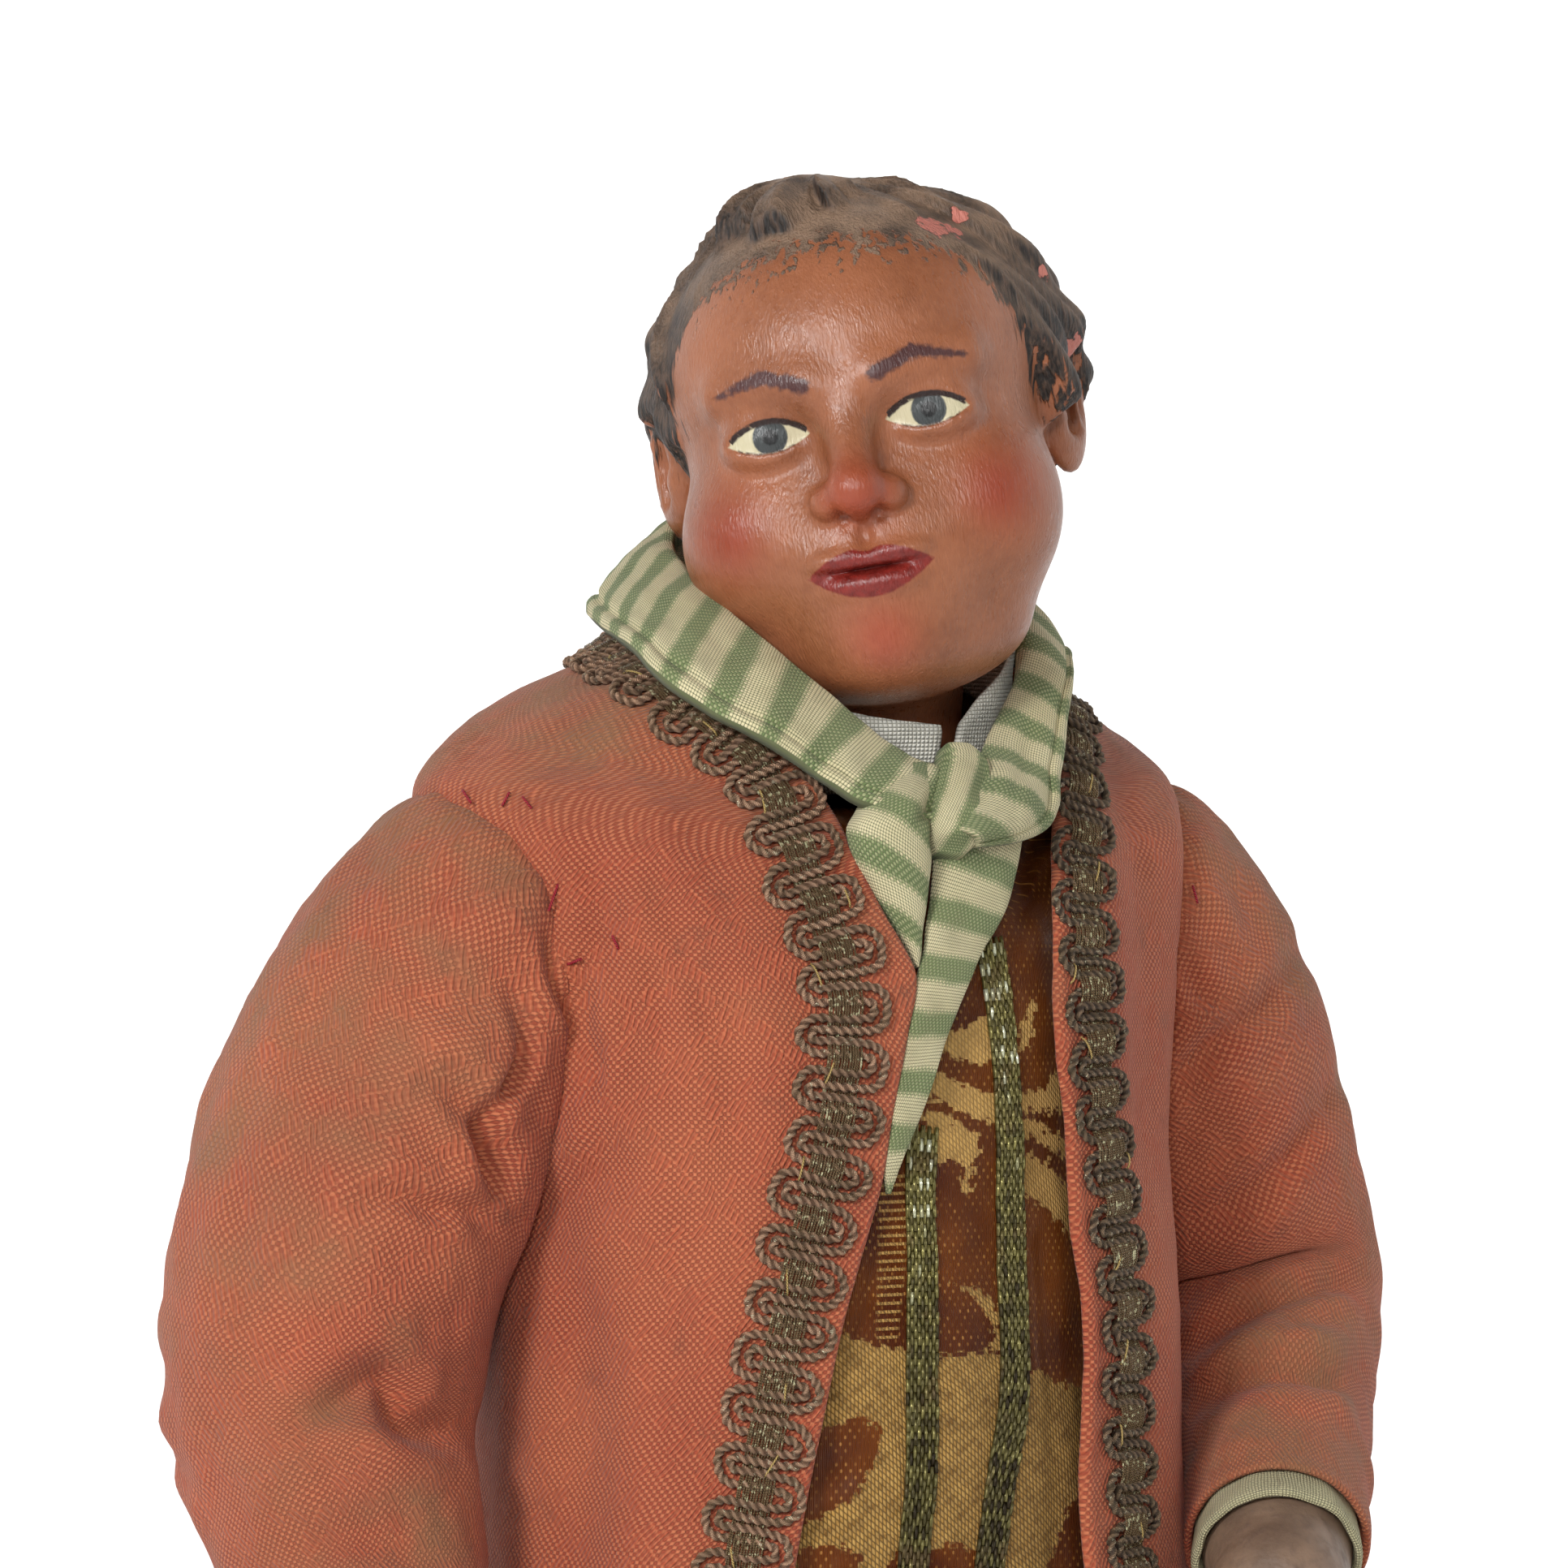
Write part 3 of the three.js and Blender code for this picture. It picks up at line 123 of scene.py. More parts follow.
# The brocade's gold leaves and the dark gaps in them, as outlines in the camera's view
GOLD_LEAVES = [
    [[7, 262.7], [9.1, 263.8], [11.9, 265], [13.3, 265.7], [14, 263.1], [13.9, 260.9], [11.1, 260.8],
     [9.1, 261.9]],
    [[16.7, 264.5], [17.4, 266], [17.9, 267.6], [18.3, 266], [17.6, 262.7], [16.5, 262.2]],
    [[7, 259.8], [8.6, 259.7], [10.7, 258.6], [13.3, 258], [14.9, 257.8], [15.2, 254.6], [12.8, 254.8],
     [10.7, 255.9], [8.6, 257], [7, 257.8]],
    [[16, 257.9], [19.3, 258.2], [20.2, 260.4], [21.2, 258.6], [21.5, 256], [19.3, 255.9], [16, 255.8]],
    [[7, 256.6], [8.6, 255.8], [10.5, 254.8], [12.2, 253.5], [12.6, 251.6], [11.9, 250.3], [11.1, 250.3],
     [9.9, 250.9], [7, 250.9]],
    [[10.6, 249.1], [11.3, 250.5], [11.9, 249.5], [11.2, 247.1]],
    [[16, 255.1], [17.9, 254.9], [19.8, 254.1], [21.6, 252.7], [22.6, 250.4], [20.2, 251.9], [18, 253.2],
     [16, 253.5]],
    [[16, 251.7], [17.9, 251.5], [19.3, 250.8], [20.7, 249.1], [22.6, 246.7], [23.1, 242.1],
     [21.2, 244.1], [19.3, 246.2], [16, 248.4]],
    [[10, 238.3], [12.3, 237.9], [14.1, 236.9], [14.8, 234.7], [15, 231.6], [13.7, 231.9], [14, 233.9],
     [13.3, 235.5], [11.9, 237.1]],
    [[-2.9, 233.9], [-0.6, 233.1], [1.9, 232.3], [5.3, 231.6], [7.8, 231.2], [11.9, 231.2],
     [14.1, 231.9], [15.1, 230.4], [17.7, 229.8], [19.5, 228.9], [22.6, 228], [25.1, 227.6],
     [25.3, 220.7], [22.5, 217.3], [21, 214.1], [19.5, 209.9], [17.7, 205.1], [11.1, 206.3],
     [5.3, 205.1], [0.4, 203.4], [-7.8, 203.4], [-6.2, 220.7]],
    [[2.1, 199.3], [5.3, 200.6], [10.3, 199.3], [14.4, 196], [13.6, 191.9], [8.6, 190.3], [3.7, 192.7],
     [1.2, 196]],
    [[16, 201], [19.3, 200.2], [21, 195.2], [19.3, 190.3], [16.9, 193.6]],
    [[-7.8, 197.7], [-3.7, 196.9], [-0.4, 192.7], [-1.2, 187.8], [-7.8, 187]],
    [[2.9, 186.6], [7.8, 187.8], [14.4, 186.6], [19.3, 184.5], [20.2, 171.4], [2.1, 171.4], [0.4, 180.4]],
]
DARK_GAPS = [
    [[-5.3, 222.8], [-2.2, 223.9], [0, 225], [2.2, 224.4], [2.6, 222.2], [1.2, 219.1], [-0.4, 216.6],
     [-3.5, 214.8], [-6.2, 214.1]],
    [[3.3, 210.4], [5.3, 211.8], [7.8, 211.3], [10.3, 212.1], [12.8, 211], [13.2, 209.2], [7.8, 208.2],
     [3.5, 208.6]],
    [[-6.2, 211.3], [-2.1, 212.1], [0.6, 210.7], [-0.4, 207.6], [-6.2, 206.7]],
]
GOLD_ROWS = [[2.4, 250], [5.2, 249.6], [5, 240], [4.2, 232.6], [2, 232.8], [2.2, 241]]
# The neck cloth's lower and upper edges, round the neck from the figure's right of the knot
BAND_BOTTOM = [
    [-5.5, -25.4, 285.6], [-13.2, -25.2, 287.7], [-18.1, -23.3, 291.2], [-22.8, -20.6, 294.4],
    [-26.4, -17.8, 296.6], [-28.9, -13.9, 298.8], [-29, -8, 300.9], [-27.6, 0, 303],
    [-24.4, 7.5, 304], [-19, 13.6, 305], [-11.5, 18.6, 306.4], [-1.5, 21, 307.6], [9, 17.8, 306.2],
    [16.5, 10.5, 304], [19.4, 3.5, 302], [18.4, -4, 299.8], [16, -10.6, 297], [13.6, -16, 294.6],
    [12, -20, 292.4], [10.2, -23, 289.8], [9, -24.8, 287.4], [7, -26.2, 285.4], [3.4, -27, 284.3],
    [-2, -27.2, 283.7],
]
BAND_TOP = [
    [-2.2, -24, 290.4], [-6.4, -21.4, 292.2], [-10.4, -19.4, 295.8], [-16.4, -14.9, 301.9],
    [-18.3, -11.6, 304.6], [-19.6, -7, 307.6], [-19, -0.4, 310.3], [-17.4, 6.5, 313.3],
    [-14, 11, 315.8], [-9, 13.8, 317.8], [-4.5, 15.6, 319.2], [0.5, 16, 319.8], [8.5, 13.4, 317.8],
    [14.4, 8.6, 314.4], [17, 2.6, 311], [15.8, -3.6, 308], [13.4, -9, 304.4],
    [11, -12.8, 299.2], [8, -15.4, 296.4], [4.4, -18.6, 293.6], [1.2, -22.2, 291.4],
    [-1.6, -24.8, 290], [-3.6, -26.4, 288], [-5, -27, 285.6],
]
BAND_LIFT = 2.75
STRIPE_PERIOD = 5.3
BAND_STRIPE_SCALE = 0.91
BAND_STRIPE_START = 0.0
TAIL_STRIPE_SCALE = 0.92
LONG_TAIL_STRIPE_START = 0.8
SHORT_TAIL_STRIPE_START = 0.6
WRAP_STRIPE_START = 3.7
# The knot's cloths, as rows of [x, y, z] at the right side, [x, y, z] at the left side and the bulge
SHORT_TAIL = [
    [-8.6, -22.3, 291.3, -3.5, -22.4, 291.3, 1.8], [-11.4, -23.6, 289.4, -4.3, -23.8, 289.3, 2.8],
    [-13.3, -24.4, 287.4, -5.6, -25.2, 286.7, 3.2], [-14.3, -24.6, 285.8, -6.2, -26.2, 284.3, 3.1],
    [-14, -24.8, 283.9, -6, -26.3, 282.3, 2.7], [-13, -25.2, 281.5, -6.2, -26.3, 280.2, 2.1],
    [-11.7, -25.6, 279.2, -6.6, -26.5, 277.8, 1.5], [-10.3, -26, 276.8, -7.2, -26.8, 275.5, 1],
    [-8.9, -26.9, 274.2, -7.6, -27.2, 273.4, 0.6], [-8.2, -27.4, 272.4, -7.9, -27.4, 272.2, 0.2],
]
LONG_TAIL = [
    [-4.6, -24, 287.5, 5, -23.3, 288, 1.4], [-4.8, -25, 284.9, 5.6, -24.3, 285.4, 1.7],
    [-4.9, -25.2, 282.8, 5.4, -24.4, 283.6, 1.4], [-5.6, -25.8, 278.6, 4.3, -24.9, 280, 1.1],
    [-6.5, -26.6, 276.3, 3.2, -25.7, 278, 1], [-7.1, -27.2, 274, 1.5, -26.5, 275.8, 0.9],
    [-8.3, -28, 271.4, -0.7, -27.4, 273.5, 0.8], [-9.3, -28.6, 268.5, -2.5, -28.2, 270.8, 0.8],
    [-10.2, -29, 265.3, -4.4, -28.8, 267.7, 0.7], [-11.1, -29.3, 262, -6, -29.3, 264.8, 0.6],
    [-11.8, -29.5, 259.7, -7.4, -29.7, 261.3, 0.5], [-12.4, -29.7, 256.8, -8.9, -29.9, 258.1, 0.4],
    [-13, -30, 253.9, -10.4, -30.1, 255.4, 0.3], [-13.1, -30.1, 251.8, -11.7, -30.1, 252.5, 0.2],
    [-12.9, -30.2, 250.5, -12.6, -30.2, 250.5, 0.1],
]
KNOT_WRAP = [
    [-2.5, -23.2, 293.9, 0.2, -23.3, 293.6, 0.4], [-4, -24.8, 291.9, 1.4, -24.6, 292, 0.9],
    [-5.4, -26.6, 289.6, 0.6, -26.5, 289.5, 1.2], [-6.2, -27.6, 287.5, -0.6, -28.2, 287, 1.2],
    [-6.5, -27.8, 285.3, -1.6, -28.7, 284.8, 1.1], [-5.7, -27, 283.4, -3, -27.5, 282.9, 0.6],
]
TAIL_DEPTH = 0.85
KNOT_WRAP_DEPTH = 2.4
KNOT_FOLDS = [
    ([[-6.5, 289.5], [-8.2, 286], [-8.4, 281], [-7.8, 277]], -0.5, 0.7),
    ([[-9.4, 290], [-11, 286.4], [-10.6, 282]], -0.3, 0.9),
    ([[9.3, 291], [8.6, 288.3], [6.4, 285.6], [4.6, 283.8]], -0.6, 0.7),
    ([[13, 291.2], [12.6, 288.6], [11, 286.2]], -0.35, 0.9),
    ([[17.6, 296], [17, 291], [14.6, 286.6]], -0.35, 0.9),
    ([[5.2, 283], [9.5, 282.8], [13.2, 283.6]], -0.25, 0.6),
]
# The shirt collar: an angle round the neck in degrees, its top height and its top radius
COLLAR_STATIONS = [
    [284, 295.6, 19], [293, 298, 19], [312, 301.6, 19], [336, 305.4, 18.3], [360, 308, 17.2],
    [405, 309.4, 15.8], [450, 308.6, 14.9], [495, 306.5, 15.6], [540, 303, 16.6], [580, 299.4, 16.6],
    [610, 296.6, 17.4], [638, 295.4, 18.2],
]
COLLAR_HEIGHT = 9.5
COLLAR_FLARE = 2
COLLAR_REACH = 16
NECK_AXIS = (-1, 3)
NECK_FOOT_Z = 288.5
NECK_TOP_Z = 314
NECK_RADIUS = 12.4

HEAD_AT = np.array([-1.4, -4, 325])
HEAD_TURN = math.radians(-33)
HEAD_LEAN = math.radians(-10)

RIGHT_ARM = [
    [-33, 1, 282, 11], [-40, 1.2, 276.5, 15], [-48, 2, 264, 17.3], [-56, 2, 246, 16.7],
    [-58.4, 2.5, 229, 15.5], [-56.6, -3, 212, 12.5], [-56, -11, 197, 9.8],
]
LEFT_ARM = [
    [26, 1, 282, 11], [32, 1.4, 276, 14], [39, 2, 264, 15], [45.2, 3, 249, 14.4],
    [49.4, 2.5, 235, 13.4], [42.6, -11, 223, 10.6], [32.4, -28.8, 213.4, 9.4],
]
RIGHT_HAND = {"along": (0.02, -0.45, -0.89), "palm": (0.86, -0.3, 0.3), "thumb": -1}
LEFT_HAND = {"along": (-0.42, -0.8, -0.43), "palm": (-0.3, 0.1, -0.95), "thumb": 1}
# Each finger: place across the palm, start along it, length, radius and how far it bends
FINGERS = [
    [-4.8, 13.5, 12.5, 1.75, 0.30], [-1.7, 14.5, 14.5, 1.85, 0.36],
    [1.5, 14.2, 13.6, 1.8, 0.44], [4.5, 13, 10.8, 1.6, 0.52],
]
THUMB = [-6, 6.5, 11.5, 2.0]
CUFF_RADIUS = 8.4
CUFF_SHOWN = 3.8
CUFF_HIDDEN = 2.0
WRIST_RADIUS = 7.3

BREECHES_TOP_Z = 181.7
KNEE_Z = 84
ANKLE_Z = 6
RIGHT_THIGH = [
    [-16, 0, 172, 18], [-16.5, -1, 150, 19], [-17, -2, 120, 16.2], [-17.5, -3, 94, 13.2],
    [-17.6, -3, 83, 12.6],
]
LEFT_THIGH = [
    [15, 0, 172, 18], [16, -1, 150, 19], [17, -1, 120, 16.2], [17.5, 0, 94, 13.2], [17.6, 0.5, 83, 12.6],
]
CALF = [[8, 7.4], [20, 6.9], [34, 8.2], [48, 10.5], [62, 12.2], [74, 11.3], [83.7, 11.4]]
RIGHT_FOOT = {"at": (-18.5, -4), "turn": math.radians(-17)}
LEFT_FOOT = {"at": (18.5, 1), "turn": math.radians(18)}
# Shoe sections from toe to heel: place along, half width and height
SHOE_SECTIONS = [
    [-30, 4, 5.8], [-25, 7, 8], [-18, 8, 9.5], [-10, 7.4, 11.5], [-3, 6.4, 14.5], [5, 6.6, 15.5],
    [10.5, 6, 13], [12, 3.6, 8],
]

BUCKLE_Y = -12.5

# Folds as seen from the camera's side: points [across, height], then depth and width. A minus
# depth is a crease, a plus depth is a ridge.
SLEEVE_FOLDS = [
    ([[-41.6, 259], [-38, 254.4], [-36.4, 250.7], [-37, 246]], -1.3, 1.5),
    ([[-49.8, 247], [-46, 247.5], [-42.7, 246.2], [-39, 245.7], [-37.7, 243.6]], -0.9, 1.3),
    ([[-44.5, 262], [-39.5, 262.5], [-35.5, 266]], 0.9, 3.4),
    ([[-40, 272.5], [-34.5, 276], [-31, 279.5]], 0.7, 2.6),
    ([[-55.6, 224], [-48.1, 229], [-45.7, 224.4], [-40.3, 223.2]], -1.5, 1.9),
    ([[-60, 219], [-53, 222.5], [-47, 219.6], [-41.5, 217.8]], 1.1, 3),
    ([[-58, 211], [-50.5, 213.4], [-43, 209.5]], -0.7, 2.2),
    ([[-66, 240], [-60, 238], [-54, 239.5]], -0.35, 2.6),
    ([[32, 259], [36, 262.5], [41, 266], [45, 272]], -0.9, 1.3),
    ([[33, 271], [35.5, 267.5], [39, 266]], -0.7, 1.1),
    ([[33.5, 252.5], [40, 257], [47.5, 264]], 0.5, 2.2),
    ([[35, 245.4], [41, 248.5], [45, 252.5], [49, 259.5]], -0.8, 1.4),
    ([[34, 242], [40, 243.5], [48, 248]], 0.4, 2),
    ([[34.5, 232], [39, 235.5], [46, 238], [53.5, 239]], -0.8, 1.2),
    ([[35, 229], [41, 232.4], [48, 232.6], [54, 236.5]], 0.8, 1.8),
    ([[34.5, 226.4], [42, 229.5], [49, 228.6], [54.5, 230.4]], -1, 1.3),
    ([[36, 222.5], [44, 225.4], [51, 224.6]], 0.6, 2.2),
    ([[36, 281], [39.5, 277], [41.5, 272]], -0.6, 1.4),
    ([[-31.4, 273.9], [-30.3, 267.5], [-28.1, 264.6]], -0.9, 0.8),
    ([[-35, 268], [-34, 261], [-37.5, 254.5], [-36, 248]], -1, 0.9),
]
COAT_FOLDS = [
    ([[-27, 283], [-25.6, 275.5], [-27.5, 267], [-26.5, 258]], -0.9, 1.8),
    ([[-22.5, 290], [-19.6, 284], [-16.4, 276], [-15.2, 268]], 0.6, 2.4),
    ([[-25, 262], [-22, 252], [-21.5, 240]], 0.7, 3.2),
    ([[-30.5, 246], [-28, 232], [-29, 214], [-32, 190]], -0.8, 3),
    ([[-33, 243], [-27.5, 248], [-21, 251]], -0.6, 2.2),
    ([[-22, 232], [-20.5, 215], [-22, 195], [-24, 170]], 0.5, 4),
    ([[-17.8, 275], [-12.8, 264], [-12.4, 250]], -0.4, 2),
    ([[26, 292], [29.5, 280], [30.3, 266], [30, 250]], -0.8, 2),
    ([[28.5, 250], [31, 232], [31.5, 210]], 0.6, 2.8),
    ([[24.5, 283], [25.5, 268], [27, 246]], 0.4, 2),
    ([[-27.4, 271], [-24.5, 260.3], [-30.3, 250.3]], 1.0, 1.4),
    ([[-16, 268.2], [-15.4, 265.4], [-14.6, 262.5]], -0.4, 0.8),
    ([[-22, 266], [-25, 262.5], [-26, 257]], -0.45, 1),
    ([[-24, 276], [-20.5, 270], [-19.8, 262]], -0.35, 0.9),
]
# How many points a fold's line is measured at
FOLD_STEPS = 36
# Crimson tacking threads on the coat and sleeves, in the same view: two ends each
TACKS = [
    ([-38.7, 289.4], [-37.8, 288.2]), ([-34.7, 288], [-34, 289.3]), ([-32.7, 288.9], [-31.8, 287.8]),
    ([-30.1, 277.9], [-29.2, 280.5]), ([-28.3, 272.7], [-26.9, 273.3]), ([-23.9, 275.6], [-23.3, 274.3]),
    ([34.4, 278.6], [34.9, 276.8]),
]

# Numbers and curves


def unit(v):
    return v / np.maximum(np.linalg.norm(v, axis=-1, keepdims=True), 1e-9)


def smoothstep(low, high, x):
    t = np.clip((x - low) / (high - low), 0, 1)
    return t * t * (3 - 2 * t)


def bell(x, middle, width):
    return np.exp(-(((x - middle) / width) ** 2))


def full_turn(count):
    """Evenly spaced angles once round, without the first one again at the end."""
    return np.linspace(0, 2 * math.pi, count, endpoint=False)


def spin(angle):
    """The matrix that turns points about the vertical."""
    cos, sin = math.cos(angle), math.sin(angle)
    return np.array([[cos, -sin, 0], [sin, cos, 0], [0, 0, 1]])


def table_value(rows, keys, column):
    """A smooth value through rows of [key, value...]."""
    rows = np.asarray(rows, float)
    x, y = rows[:, 0], rows[:, column]
    low = np.maximum(np.arange(len(x)) - 1, 0)
    high = np.minimum(np.arange(len(x)) + 1, len(x) - 1)
    slopes = (y[high] - y[low]) / (x[high] - x[low])
    keys = np.clip(keys, x[0], x[-1])
    i = np.clip(np.searchsorted(x, keys, side="left") - 1, 0, len(x) - 2)
    width = x[i + 1] - x[i]
    t = (keys - x[i]) / width
    start = (2 * t**3 - 3 * t**2 + 1) * y[i] + (t**3 - 2 * t**2 + t) * width * slopes[i]
    return start + (3 * t**2 - 2 * t**3) * y[i + 1] + (t**3 - t**2) * width * slopes[i + 1]


def curve_points(points, count):
    """Points along a centripetal Catmull-Rom curve, evenly in its parameter."""
    p = np.asarray(points, float)
    p = np.vstack([2 * p[0] - p[1], p, 2 * p[-1] - p[-2]])
    place = np.linspace(0, len(points) - 1, count)
    i = np.minimum(place.astype(int), len(points) - 2)
    t = (place - i)[:, None]
    a, b, c, d = p[i], p[i + 1], p[i + 2], p[i + 3]
    gaps = [np.maximum(((n - m) ** 2).sum(1) ** 0.25, 1e-6)[:, None] for m, n in ((a, b), (b, c), (c, d))]
    leave = ((b - a) / gaps[0] - (c - a) / (gaps[0] + gaps[1]) + (c - b) / gaps[1]) * gaps[1]
    arrive = ((c - b) / gaps[1] - (d - b) / (gaps[1] + gaps[2]) + (d - c) / gaps[2]) * gaps[1]
    start = (2 * t**3 - 3 * t**2 + 1) * b + (t**3 - 2 * t**2 + t) * leave
    return start + (3 * t**2 - 2 * t**3) * c + (t**3 - t**2) * arrive


def lengths_along(points):
    steps = np.linalg.norm(np.diff(points, axis=0), axis=-1)
    return np.concatenate([np.zeros((1,) + steps.shape[1:]), np.cumsum(steps, axis=0)])


def at_lengths(points, wanted):
    """Points of a dense polyline at wanted lengths along it."""
    along = lengths_along(points)
    return np.stack([np.interp(wanted, along, points[:, k]) for k in range(points.shape[1])], -1)


def wobble(points, size, seed):
    """Smooth noise between about -1 and 1, with features about size across."""
    rng = np.random.default_rng(seed)
    total = np.zeros(points.shape[:-1])
    for _ in range(9):
        way = unit(rng.normal(size=3)) * (2 * math.pi / size) * rng.uniform(0.6, 1.7)
        total += np.sin(points @ way + rng.uniform(0, 2 * math.pi))
    return total / 4


# Meshes


class Build:
    """Grids of points gathered into one closed mesh, with UVs in metres and values per point."""

    def __init__(self):
        self.points = []
        self.faces = []
        self.uvs = []
        self.values = {}
        self.count = 0

    def add(self, points, faces, uvs, values):
        for name in set(self.values) | set(values):
            known = self.values.setdefault(name, np.zeros(self.count))
            new = values.get(name, np.zeros(len(points)))
            self.values[name] = np.concatenate([known, np.broadcast_to(new, len(points))])
        self.points.append(points)
        self.faces += faces
        self.uvs.append(uvs)
        self.count += len(points)

    def grid(self, points, uv, wrap=False, **values):
        rows, cols = points.shape[:2]
        r = np.arange(rows - 1)[:, None]
        c = np.arange(cols if wrap else cols - 1)[None, :]
        after = (c + 1) % cols
        quads = np.stack([r * cols + c, r * cols + after, (r + 1) * cols + after, (r + 1) * cols + c], -1)
        corners = np.stack([uv[r, c], uv[r, c + 1], uv[r + 1, c + 1], uv[r + 1, c]], 2)
        flat = {name: np.broadcast_to(value, (rows, cols)).ravel() for name, value in values.items()}
        faces = (quads.reshape(-1, 4) + self.count).tolist()
        self.add(points.reshape(-1, 3), faces, corners.reshape(-1, 2) * MM, flat)

    def tube(self, rings, uv=None, **values):
        """A wrapped grid, closed at both ends by fans. Its UVs are plain lengths unless given."""
        uv = ring_uv(rings) if uv is None else uv
        self.grid(rings, uv, wrap=True, **values)
        for ring, edge in ((rings[0], uv[0]), (rings[-1], uv[-1])):
            points = np.stack([ring, np.broadcast_to(ring.mean(0), ring.shape)])
            self.grid(points, np.stack([edge, edge]), wrap=True)

    def shell(self, outer, inner, uv, rims=(1, 1, 1, 1), **values):
        """Cloth with two faces. The rims are its first row, last row, first and last column."""
        self.grid(outer, uv, **values)
        self.grid(inner, uv, **values)
        edges = (np.s_[0, :], np.s_[-1, :], np.s_[:, 0], np.s_[:, -1])
        for edge, wanted in zip(edges, rims):
            if wanted:
                strip = {name: np.stack([np.broadcast_to(v, outer.shape[:2])[edge]] * 2)
                         for name, v in values.items()}
                self.grid(np.stack([outer[edge], inner[edge]]), np.stack([uv[edge], uv[edge]]), **strip)

    def piece(self, name, material, slot, replaces=(), lift=FIGURE_LIFT, weld=1e-3):
        mesh = new_mesh(name, np.concatenate(self.points) + (0, 0, lift), self.faces, self.values)
        layer = mesh.uv_layers.new(name="UVMap")
        layer.data.foreach_set("uv", np.concatenate(self.uvs).ravel())
        clean_mesh(mesh, weld)
        return place_piece(mesh, name, material, replaces)


def new_mesh(name, points, faces, values=()):
    """A mesh from points in millimetres, with named values per point."""
    mesh = bpy.data.meshes.new(name)
    mesh.from_pydata((points * MM).tolist(), [], faces)
    for key, value in dict(values).items():
        value = np.asarray(value, np.float32)
        kind, field = ("FLOAT_VECTOR", "vector") if value.ndim == 2 else ("FLOAT", "value")
        mesh.attributes.new(key, kind, "POINT").data.foreach_set(field, value.ravel())
    return mesh


def clean_mesh(mesh, weld=0.0):
    """Joins points nearer than the weld distance in millimetres and turns all faces outwards."""
    work = bmesh.new()
    work.from_mesh(mesh)
    if weld:
        bmesh.ops.remove_doubles(work, verts=work.verts, dist=weld * MM)
        bmesh.ops.dissolve_degenerate(work, edges=work.edges, dist=weld * MM)
    bmesh.ops.recalc_face_normals(work, faces=work.faces)
    work.to_mesh(mesh)
    work.free()


def link_object(name, data):
    thing = bpy.data.objects.new(name, data)
    bpy.context.scene.collection.objects.link(thing)
    return thing


def link_mesh(name, mesh, material):
    mesh.materials.append(material)
    mesh.polygons.foreach_set("use_smooth", [True] * len(mesh.polygons))
    return link_object(name, mesh)


def place_piece(mesh, name, material, replaces=()):
    piece = link_mesh(name, mesh, material)
    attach(piece, "root")
    if replaces:
        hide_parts(*replaces)
    return piece


def ring_uv(rings):
    """UVs of wrapped rings in millimetres: round each ring and along the rings."""
    closed = np.concatenate([rings, rings[:, :1]], 1)
    around = lengths_along(closed.swapaxes(0, 1)).T
    scale = around[:, -1:].mean() / np.maximum(around[:, -1:], 1e-6)
    along = lengths_along(closed)
    return np.stack([around * scale, along], -1)


def tube_rings(path, radii, sides, up=(0, 0, 1), lobes=0.0, twist=0.0):
    """Rings round a dense path, with parallel frames. Lobes and twist make a two-ply cord."""
    path = np.asarray(path, float)
    tangents = unit(np.gradient(path, axis=0))
    normals = np.empty_like(path)
    normal = np.asarray(up, float)
    for i, tangent in enumerate(tangents):
        normal = unit(normal - tangent * (normal @ tangent))
        normals[i] = normal
    sideways = np.cross(tangents, normals)
    angles = full_turn(sides)
    along = lengths_along(path)[:, None]
    radii = np.broadcast_to(radii, len(path))[:, None]
    reach = radii * (1 + lobes * np.cos(2 * (angles - twist * along)))
    return path[:, None] + reach[..., None] * (
        np.cos(angles)[:, None] * normals[:, None] + np.sin(angles)[:, None] * sideways[:, None]
    )


# The torso's surface and what lies on it


def torso_at(z):
    return [table_value(COAT_STATIONS, z, column) for column in (1, 2, 3, 4)]


def torso_field(p):
    centre_x, half_x, centre_y, half_y = torso_at(p[..., 2])
    across = np.abs((p[..., 0] - centre_x) / half_x) ** TORSO_POWER
    through = np.abs((p[..., 1] - centre_y) / half_y) ** TORSO_POWER
    return ((across + through) ** (1 / TORSO_POWER) - 1) * half_y


def torso_gradient(p):
    step = 0.05
    slopes = []
    for axis in range(3):
        shift = np.eye(3)[axis] * step
        slopes.append((torso_field(p + shift) - torso_field(p - shift)) / (2 * step))
    return np.stack(slopes, -1)


def on_coat(points):
    """The nearest points of the coat's plain outer surface, and the normals there."""
    found = np.array(points, float)
    for _ in range(6):
        slope = torso_gradient(found)
        found -= slope * (torso_field(found) / (slope**2).sum(-1))[..., None]
    return found, unit(torso_gradient(found))


def ring_point(angle, z):
    centre_x, half_x, centre_y, half_y = torso_at(z)
    cos, sin = np.cos(angle), np.sin(angle)
    x = centre_x + half_x * np.sign(cos) * np.abs(cos) ** (2 / TORSO_POWER)
    y = centre_y + half_y * np.sign(sin) * np.abs(sin) ** (2 / TORSO_POWER)
    return np.stack([x, y, z * np.ones_like(x)], -1)


def front_angle(x, z):
    centre_x, half_x, _, _ = torso_at(z)
    share = np.clip((x - centre_x) / half_x, -0.985, 0.985)
    return -np.arccos(np.sign(share) * np.abs(share) ** (TORSO_POWER / 2))


def picture_place(points):
    """Where points appear to the camera, as [across, height] in millimetres at its target."""
    up = np.cross(VIEW_BACK, VIEW_SIDE)
    target = VIEW_TARGET / MM - (0, 0, FIGURE_LIFT)
    from_target = points - target
    scale = 1 / (1 - from_target @ VIEW_BACK / (VIEW_DISTANCE / MM))
    across = (from_target @ VIEW_SIDE) * scale + VIEW_TARGET_SIDE / MM
    return np.stack([across, (from_target @ up) * scale + target[2]], -1)


